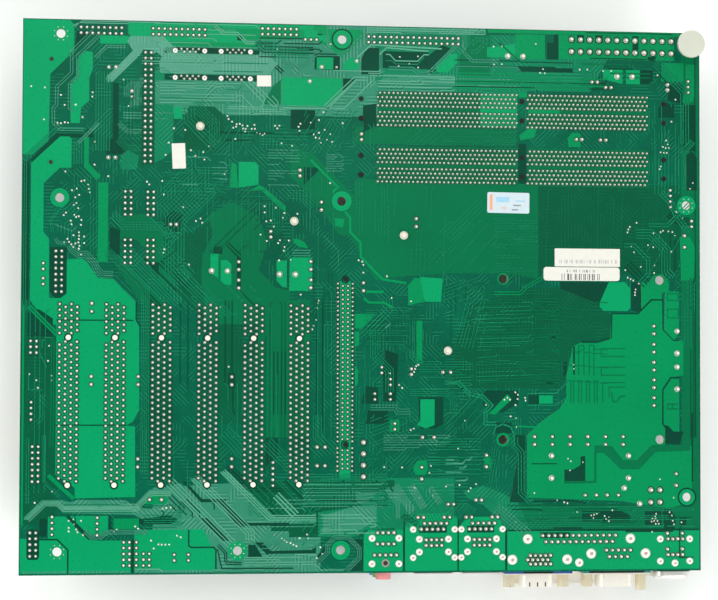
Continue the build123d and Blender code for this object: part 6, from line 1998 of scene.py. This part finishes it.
# ---- Rear ports ---------------------------------------------------------------------------
@dataclass
class PortDetails:
    """Contacts, bores and threads that the rear ports show from behind."""

    face: float = -7.22
    screw_end: float = -7.5
    long_screw_end: float = -9.2
    thread_steps: int = 5
    smooth: float = 35.0

    def contact_hole_with_painted_shade(self, shape: Shape, x: float, h: float, y: float, r: float, rim: float) -> None:
        """Adds one contact hole with its rim on a face that looks to the rear; its black bottom is painted
        shade.

        Args:
            shape: The shape that receives the faces.
            x: Centre along the rear edge.
            h: Height over the component side.
            y: The face's distance from the board's edge.
            r: Hole radius.
            rim: Rim radius.
        """
        at = (x, y, -BOARD_T - h)
        shape.lathe(at, [(rim, 0.0), (rim * 0.92, -0.1), (r, -0.1)], 12, 0, axis="y")
        # The shallow black dip inside the rim is painted shade for the hole's depth.
        shape.lathe(at, [(r, -0.1), (r * 0.9, 0.0), (0, 0.01)], 12, 1, axis="y")

    def d_ports(self) -> Shape:
        """Adds the contact holes of the two socket ports and the pins of the third.

        Returns:
            The contacts.
        """
        holes = Shape("port_contact_holes", GOLD, BLACK_LCP)
        for row, count in ((1.42, 13), (-1.42, 12)):
            for n in range(count):
                x = PARALLEL_X + (n - (count - 1) / 2) * CONTACT_PITCH
                self.contact_hole_with_painted_shade(holes, x, UPPER_PORT_H + row, self.face, 0.42, 0.62)
        for row, shift in ((1.98, 0.57), (0.0, -0.57), (-1.98, 0.57)):
            for n in range(5):
                x = VIDEO_X + (n - 2) * 2.29 + shift
                self.contact_hole_with_painted_shade(holes, x, LOWER_PORT_H + row, self.face, 0.36, 0.55)
        pin = [(0.95, 0.0), (0.9, -0.25), (0.66, -0.26), (0.66, -3.9), (0.4, -4.34), (0, -4.36)]
        for row, count in ((1.42, 5), (-1.42, 4)):
            for n in range(count):
                x = SERIAL_X + (n - (count - 1) / 2) * CONTACT_PITCH
                holes.lathe((x, -2.6, -BOARD_T - LOWER_PORT_H - row), pin, 14, 0, axis="y")
        return holes

    def shell_slots(self) -> Shape:
        """Adds dark slabs of painted shade in a shell's earthing dimples, and the sound stack's locating
        hole.

        Returns:
            The dimples' painted shade and the hole.
        """
        slots = Shape("shell_slots_and_post_hole", BLACK_LCP, TINNED_PAD, CAN)
        top = -BOARD_T - LOWER_PORT_H + 3.95
        # Three thin dark slabs on the shell: painted shade in its earthing dimples.
        for k in (-1, 0, 1):
            slot = box_outline(VIDEO_X + 3.6 * k - 0.28, -7.1, VIDEO_X + 3.6 * k + 0.28, -5.2)
            slots.prism(slot, top - 0.05, top + 0.03, 0)
        slots.ring(SOUND_X, 4.3, 1.05, 1.75, 0.16, 1)
        slots.lathe((SOUND_X, 4.3, 0.0), [(1.05, 0.165), (0, 0.16)], 20, 0)
        return slots

    def screws(self) -> Shape:
        """Adds the jack screws' threads, painted shade closing each bore, and the washers' chamfers round
        them.

        Returns:
            The threads, the bores' painted shade and the chamfers.
        """
        threads = Shape("jack_screw_threads", SCREW, BLACK_LCP)
        ends = [
            (VIDEO_X - JACK_SCREW_REACH, LOWER_PORT_H, self.screw_end),
            (VIDEO_X + JACK_SCREW_REACH, LOWER_PORT_H, self.screw_end),
            (SERIAL_X - JACK_SCREW_REACH, LOWER_PORT_H, self.screw_end),
            (SERIAL_X + JACK_SCREW_REACH, LOWER_PORT_H, self.long_screw_end),
            (PARALLEL_X - LONG_SCREW_REACH, UPPER_PORT_H, self.screw_end),
            (PARALLEL_X + LONG_SCREW_REACH, UPPER_PORT_H, self.screw_end),
        ]
        for x, h, end in ends:
            at = (x, end, -BOARD_T - h)
            turns = [(1.29, 0.05)]
            for k in range(self.thread_steps):
                turns += [(1.02, 0.3 + 0.7 * k), (1.28, 0.65 + 0.7 * k)]
            threads.lathe(at, turns, 16, 0, axis="y")
            # A black disc closes each bore: painted shade at its bottom.
            threads.lathe(at, [(1.28, 3.6), (0, 3.62)], 16, 1, axis="y")
            # The longest screw reaches furthest to the rear, so its chamfer keeps flush.
            face = 0.0 if end == self.long_screw_end else -0.01
            threads.lathe(at, [(1.32, face), (1.95, face), (2.25, 0.25)], 24, 0, axis="y")
        return threads

    def network(self) -> Shape:
        """Adds the network ports' spring wires and lamps, and the USB tongues' contacts.

        Returns:
            Wires, lamps, contacts and side springs.
        """
        wires = Shape("network_and_usb_contacts", GOLD, LATCH_PBT, CAN)
        for x in NETWORK_X:
            for k in range(8):
                at = x + (k - 3.5) * 1.02
                wire = [(at, 0.9, -BOARD_T - 18.8), (at, 2.0, -BOARD_T - 19.4), (at, 9.0, -BOARD_T - 22.6)]
                tube(wires, wire, 0.2, 6, 0)
            for side in (-1, 1):
                lamp = box_outline(x + side * 7.3 - 0.85, -0.78, x + side * 7.3 + 0.85, -0.5)
                wires.prism(lamp, -BOARD_T - 25.4, -BOARD_T - 24.0, 1)
            for h in (5.1, 12.3):
                tongue = -BOARD_T - h
                for k in (-3.5, -1.0, 1.0, 3.5):
                    strip = box_outline(x + k - 0.5, 1.0, x + k + 0.5, 9.5)
                    wires.prism(strip, tongue - 0.38, tongue - 0.3, 0)
                    nose = box_outline(x + k - 0.5, 0.6, x + k + 0.5, 1.0)
                    wires.prism(nose, tongue - 0.36, tongue + 0.6, 0)
                for k in (-3.2, 3.2):
                    spring = [(x + k - 0.9, -0.74), (x + k + 0.9, -0.74)]
                    spring += [(x + k + 0.7, 2.2), (x + k - 0.7, 2.2)]
                    wires.prism(spring, tongue - 2.74, tongue - 2.5, 2)
        return wires

    def round_ports(self) -> Shape:
        """Adds the round ports' contact holes and keys, and the sound jacks' inner rings.

        Returns:
            Contacts, keys and rings.
        """
        rounds = Shape("round_port_contacts", GOLD, BLACK_LCP, NICKEL)
        for h in (8.4, 21.2):
            for k in range(6):
                angle = math.radians(30 + 60 * k)
                at_x, at_h = ROUND_X + 2.45 * math.cos(angle), h + 2.45 * math.sin(angle)
                self.contact_hole_with_painted_shade(rounds, at_x, at_h, -2.92, 0.36, 0.5)
            key = box_outline(ROUND_X - 1.1, -2.97, ROUND_X + 1.1, -2.85)
            rounds.prism(key, -BOARD_T - h - 0.9, -BOARD_T - h + 0.9, 1)
        ring = [(2.35, 0.02), (2.3, -0.12), (1.84, -0.12), (1.78, 0.6), (1.78, 6.0)]
        for h in (6.2, 17.2, 28.2):
            rounds.lathe((SOUND_X, -3.4, -BOARD_T - h), ring, 28, 2, axis="y")
            rounds.lathe((SOUND_X, 4.2, -BOARD_T - h), [(1.76, 0.0), (0, 0.02)], 20, 1, axis="y")
        return rounds

    def build(self, board: Board) -> list[bpy.types.Object]:
        """Builds the five groups of details.

        Args:
            board: The board that carries them.

        Returns:
            The new objects.
        """
        shapes = (self.d_ports(), self.shell_slots(), self.screws(), self.network(), self.round_ports())
        return [shape.build(board, self.smooth) for shape in shapes]


# ---- Labels -------------------------------------------------------------------------------
Mark = tuple[float, float, float, float, Finish]


@dataclass
class Label:
    """Adhesive label: a thin sheet with eased corners and rows of plain printed marks."""

    name: str
    centre: Point2
    size: Point2
    turn: float = 0.0
    corner: float = 0.4
    paper: Finish = LABEL
    thick: float = 0.11
    glue: float = 0.05
    ink: float = 0.006
    marks: list[Mark] = field(default_factory=list)

    def place(self, u: float, v: float) -> Point2:
        """Turns a point of the label about its centre."""
        c, s = math.cos(self.turn), math.sin(self.turn)
        return (self.centre[0] + u * c - v * s, self.centre[1] + u * s + v * c)

    def build(self, board: Board) -> list[bpy.types.Object]:
        """Builds the sheet and its marks.

        Args:
            board: The board that carries it.

        Returns:
            The new object.
        """
        r = self.corner
        w, h = self.size[0] / 2 - r, self.size[1] / 2 - r
        rim = []
        for cx, cy, start in ((w, h, 0), (-w, h, 90), (-w, -h, 180), (w, -h, 270)):
            for k in range(5):
                a = math.radians(start + 22.5 * k)
                rim.append(self.place(cx + r * math.cos(a), cy + r * math.sin(a)))
        finishes = [self.paper] + sorted({m[4] for m in self.marks}, key=lambda f: f.name)
        face = self.glue + self.thick
        sheet = Shape(self.name, *finishes)
        sheet.prism(rim, self.glue, face)
        for u0, v0, u1, v1, ink in self.marks:
            corners = [self.place(u, v) for u, v in box_outline(u0, v0, u1, v1)]
            sheet.prism(corners, face, self.glue + self.ink + self.thick, finishes.index(ink))
        return [sheet.build(board)]


def bar_marks(width: float, low: float, high: float, seed: int, ink: Finish) -> list[Mark]:
    """Draws upright bars of uneven widths across a label.

    Args:
        width: How far the bars reach in all.
        low: Their foot on the label.
        high: Their head.
        seed: Start of the random draws.
        ink: The bars' finish.

    Returns:
        The marks.
    """
    dice = random.Random(seed)
    marks, u = [], -width / 2
    while u < width / 2:
        wide = dice.choice((0.3, 0.3, 0.5, 0.9))
        marks.append((u, low, u + wide, high, ink))
        u += wide + dice.choice((0.3, 0.45, 0.8, 1.2))
    return marks


def labels() -> list[Label]:
    """Lists the five labels of the solder face.

    Returns:
        The labels.
    """
    faint = bar_marks(26, -2.6, -1.0, 3, INK_PALE)
    bars = bar_marks(18.5, -2.8, 0.1, 4, INK_DARK) + bar_marks(13.6, 0.7, 1.9, 5, INK_GREY)
    stamp = [(-8.6, -3.4, -7.2, 3.6, INK_ORANGE), (-5.6, 0.2, 0.4, 2.6, INK_BLUE)]
    stamp += [(1.6, -3.4, 4.4, -2.8, INK_GREY), (2.2, -1.4, 5.8, -0.8, INK_GREY)]
    stamp += [(3.2, 0.6, 7.6, 1.2, INK_BLUE), (-3.2, -2.6, -0.8, -2.1, INK_ORANGE)]
    return [
        Label("slot_label", (68.5, 184.2), (5.9, 11.2), 0.045, 0.2),
        Label("front_label", (106.1, 218.2), (6.3, 4.9), 0.02, 0.2),
        Label("stamped_sticker", (216.4, 165.3), (19.2, 9.3), -0.012, 0.7, STICKER, marks=stamp),
        Label("blank_label", (252.6, 140.95), (30.0, 8.1), 0.0, 0.25, LABEL, marks=faint),
        Label("barcode_label", (250.0, 133.55), (35.0, 6.1), 0.0, 1.3, LABEL, marks=bars),
    ]


# ---- Component side -----------------------------------------------------------------------
@dataclass
class Capacitors:
    """Electrolytic cans: rolled neck over the bung, printed sleeve, scored vent."""

    sides: int = 20
    stripe_angles: tuple[float, ...] = (-24, -12, 0, 12, 24)
    score_turn: float = 0.4
    score_width: float = 0.18

    def stripe(self, cans: Shape, can: CanSpot, turn: float) -> None:
        """Adds the polarity stripe on one sleeve.

        Args:
            cans: The shape that receives the faces.
            can: The capacitor.
            turn: Direction of the stripe's middle, in radians.
        """
        wide = can.r + 0.04
        arc = [turn + math.radians(a) for a in self.stripe_angles]
        lower = [
            (can.x + wide * math.cos(a), can.y + wide * math.sin(a), -BOARD_T - 2.8) for a in arc
        ]
        upper = [(x, y, -BOARD_T - can.tall + 0.4) for x, y, _ in lower]
        cans.add(lower + upper, [(k, k + 1, 6 + k, 5 + k) for k in range(4)], 2)

    def vent(self, cans: Shape, can: CanSpot) -> None:
        """Adds the crossed scores on one can's end as thin dark strips: painted shade in the grooves.

        Args:
            cans: The shape that receives the faces.
            can: The capacitor.
        """
        long, thin = can.r * 0.62, self.score_width / 2
        end = -BOARD_T - can.tall
        for spin in (self.score_turn, self.score_turn + math.pi / 2):
            c, s = math.cos(spin), math.sin(spin)
            score = [(long, thin), (-long, thin), (-long, -thin), (long, -thin)]
            corners = [(can.x + u * c - v * s, can.y + u * s + v * c) for u, v in score]
            # Strips in the dark bung finish: painted shade in the scored grooves.
            cans.prism(corners, end + 0.04, end + 0.12, 3)

    def build(self, board: Board) -> list[bpy.types.Object]:
        """Builds every can with its bung, sleeve, bare end, polarity stripe and vent.

        Args:
            board: The board that carries them.

        Returns:
            The new object.
        """
        cans = Shape("capacitor_cans", CAN, SLEEVE, STRIPE, RUBBER)
        for order, can in enumerate(capacitor_spots()):
            r, tall, foot = can.r, can.tall, (can.x, can.y, -BOARD_T)
            bung = [(0.0, 0.0), (r * 0.8, 0.0), (r * 0.82, -0.5)]
            cans.lathe(foot, bung, self.sides, 3)
            sleeve = [(r * 0.82, -0.5), (r * 0.97, -0.6), (r, -0.9), (r, -1.6), (r * 0.94, -2.0)]
            sleeve += [(r * 0.94, -2.3), (r, -2.7), (r, -tall + 0.35), (r * 0.985, -tall + 0.12)]
            sleeve += [(r * 0.86, -tall + 0.06)]
            cans.lathe(foot, sleeve, self.sides, 1)
            end = [(r * 0.86, -tall + 0.06), (r * 0.84, -tall + 0.16), (0.0, -tall + 0.1)]
            cans.lathe(foot, end, self.sides, 0)
            self.stripe(cans, can, math.radians(90 * (order % 3)))
            self.vent(cans, can)
        made = cans.build(board, 35)
        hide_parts("capacitors")
        return [made]


@dataclass
class Chokes:
    """Toroidal chokes: powder-coated core wound with enamelled copper wire."""

    turns: int = 13
    bare_share: float = 0.22  # half the part of the ring, in turns, that carries no wire
    core_steps: int = 40

    def ring(
        self, coil: Shape, place: Point3, angle: float, width: float, thick: float, wire: float
    ) -> None:
        """Adds one core and its winding.

        Args:
            coil: The shape that receives the faces.
            place: Ring centre.
            angle: Direction of the ring's plane, in radians.
            width: Outer size over the winding.
            thick: Size across the ring's plane.
            wire: Wire radius.
        """
        outer, inner, half = width / 2 - 2 * wire, width * 0.24, thick / 2 - 2 * wire
        c, s = math.cos(angle), math.sin(angle)
        steps = self.core_steps

        def spot(theta: float, radial: float, across: float) -> Point3:
            """Returns a point of the ring from its angle, radius and distance off its plane."""
            u, v = radial * math.cos(theta), radial * math.sin(theta)
            return (place[0] + u * c - across * s, place[1] + u * s + across * c, place[2] + v)

        section = [(inner, -half), (inner, half), (inner + 0.5, half + 0.01), (outer, half)]
        section += [(outer, -half)]
        points = [spot(2 * math.pi * k / steps, r, a) for k in range(steps) for r, a in section]
        n = len(section)
        faces = []
        for k in range(steps):
            here, after = k * n, (k + 1) % steps * n
            faces += [(here + j, here + (j + 1) % n, after + (j + 1) % n, after + j) for j in range(n)]
        coil.add(points, faces, 0)
        gap = self.bare_share
        loop = [(inner - wire, half + wire), (outer + wire, half + wire)]
        loop += [(outer + wire, -half - wire), (inner - wire, -half - wire)]
        lead = (2 - 2 * gap) * math.pi / self.turns
        for turn in range(self.turns):
            base = math.pi / 2 + math.pi * gap + turn * (2 - 2 * gap) * math.pi / self.turns
            path = [spot(base + lead * j / 4, r, a) for j, (r, a) in enumerate(loop)]
            path.append(spot(base + lead, *loop[0]))
            tube(coil, path, wire, 6, 1)

    def build(self, board: Board) -> list[bpy.types.Object]:
        """Builds every choke in the room of its solid.

        Args:
            board: The board that carries them.

        Returns:
            The new object.
        """
        coil = Shape("wound_chokes", CORE, ENAMEL)
        for x, y in LARGE_CHOKES:
            self.ring(coil, (x, y, -BOARD_T - 6.8), math.pi / 2, 13.6, 6.6, 0.62)
        self.ring(coil, (*TURNED_CHOKE, -BOARD_T - 5.0), -math.pi / 4, 10.0, 5.2, 0.5)
        for x, y in LYING_CHOKES:
            self.ring(coil, (x, y, -BOARD_T - 4.4), 0.0, 8.8, 8.0, 0.42)
        made = coil.build(board, 45)
        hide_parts("power_chokes")
        return [made]


@dataclass
class PinSprings:
    """Coil springs that hold the heatsinks down on their push pins."""

    wire: float = 0.22
    turns: float = 6.5
    coil_r: float = 2.27
    length: float = 6.4
    ear_depth: float = 5.6  # from the component side to the heatsink's ear
    steps_per_turn: int = 14
    pins: tuple[Point2, ...] = ((169.0, 150.1), (189.0, 98.7), (77.9, 197.6), (119.8, 155.9))

    def build(self, board: Board) -> list[bpy.types.Object]:
        """Builds one helix round each push pin.

        Args:
            board: The board that carries them.

        Returns:
            The new object.
        """
        coil = Shape("heatsink_coil_springs", SPRING)
        ear = -BOARD_T - self.ear_depth
        steps = int(self.turns * self.steps_per_turn)
        for x, y in self.pins:
            path = []
            for k in range(steps + 1):
                a = 2 * math.pi * self.turns * k / steps
                z = ear - self.wire - (self.length - 2 * self.wire) * k / steps
                path.append((x + self.coil_r * math.cos(a), y + self.coil_r * math.sin(a), z))
            tube(coil, path, self.wire, 6, 0)
        made = coil.build(board, 60)
        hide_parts("heatsink_springs")
        return [made]


# ---- Studio -------------------------------------------------------------------------------
# Matt white paper: an even pale ground.
FLOOR_PAPER = MouldedPlastic("studio_floor_paper", "EEF1EE", "EAEDEA", 0.7, 60.0, 2.0, 0.01)


@dataclass
class Studio:
    """Pale floor, soft lights and the camera over the board."""

    location: Point3 = (0.01279, 0.07535, 0.97136)
    angles: Point3 = (2.0625, -7.0237, 0.1638)
    lens: float = 110.3
    middle: Point3 = (0.136, 0.112, 0.0)

    def floor(self, low: float) -> bpy.types.Object:
        """Builds the pale floor.

        Args:
            low: Height of the object's lowest point.

        Returns:
            The floor.
        """
        mesh = bpy.data.meshes.new("floor")
        mesh.from_pydata([(-4, -4, low), (4, -4, low), (4, 4, low), (-4, 4, low)], [], [(0, 1, 2, 3)])
        mesh.materials.append(FLOOR_PAPER.make())
        made = bpy.data.objects.new("floor", mesh)
        bpy.context.scene.collection.objects.link(made)
        made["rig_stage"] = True
        return made

    def light(self, name: str, at: Point3, size: float, power: float) -> None:
        """Adds one soft square light that looks at the board's middle.

        Args:
            name: The light's name.
            at: Its place.
            size: Its width.
            power: Its power in watts.
        """
        lamp = bpy.data.lights.new(name, "AREA")
        lamp.shape = "SQUARE"
        lamp.size = size
        lamp.energy = power
        made = bpy.data.objects.new(name, lamp)
        made.location = at
        made.rotation_euler = (Vector(self.middle) - Vector(at)).to_track_quat("-Z", "Y").to_euler()
        bpy.context.scene.collection.objects.link(made)

    def sky(self) -> None:
        """Builds the room: bright walls and a dim ceiling, so flat faces keep their colour."""
        world = bpy.data.worlds.new("studio_room")
        world.use_nodes = True
        tree = world.node_tree
        back = tree.nodes["Background"]
        back.inputs[0].default_value = linear("F2F4F2")
        place = add_node(tree, "TexCoord").outputs["Generated"]
        parts = add_node(tree, "SeparateXYZ", links={0: place})
        fade = {"From Min": 0.62, "From Max": 0.95, "To Min": 1.0, "To Max": 0.1}
        strength = add_node(tree, "MapRange", fade, {"Value": parts.outputs[2]})
        tree.links.new(strength.outputs[0], back.inputs[1])
        bpy.context.scene.world = world

    def camera(self) -> None:
        """Adds the camera over the board."""
        lens = bpy.data.cameras.new("camera")
        lens.lens = self.lens
        lens.clip_end = 20.0
        made = bpy.data.objects.new("camera", lens)
        made.location = self.location
        made.rotation_euler = Euler([math.radians(a) for a in self.angles])
        bpy.context.scene.collection.objects.link(made)
        bpy.context.scene.camera = made

    def build(self, low: float) -> None:
        """Builds floor, lights, sky and camera.

        Args:
            low: Height of the object's lowest point.
        """
        self.floor(low)
        bpy.context.scene.view_settings.view_transform = "Standard"
        self.light("front_softbox", (0.1, 1.3, 1.2), 1.0, 9.0)
        self.light("window_softbox", (0.25, 0.66, 1.55), 0.6, 1.7)
        self.light("rear_softbox", (0.9, -1.1, 1.3), 1.2, 22.0)
        self.light("left_softbox", (-1.3, 0.5, 1.1), 1.2, 18.6)
        self.sky()
        self.camera()


def main() -> None:
    """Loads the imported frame, dresses it and adds every piece."""
    logging.basicConfig(level=logging.INFO, format="%(name)s: %(message)s")
    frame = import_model()
    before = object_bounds()
    board = Board.from_frame(frame)
    dress_nodes(frame["nodes"])
    for joints in joint_fields():
        joints.build(board)
    LugJoints().build(board)
    CopperAreas().build(board)
    Traces().build(board)
    HolePads().build(board)
    PortDetails().build(board)
    for label in labels():
        label.build(board)
    Capacitors().build(board)
    Chokes().build(board)
    PinSprings().build(board)
    Studio().build(before[0].z)


if __name__ == "__main__":
    main()
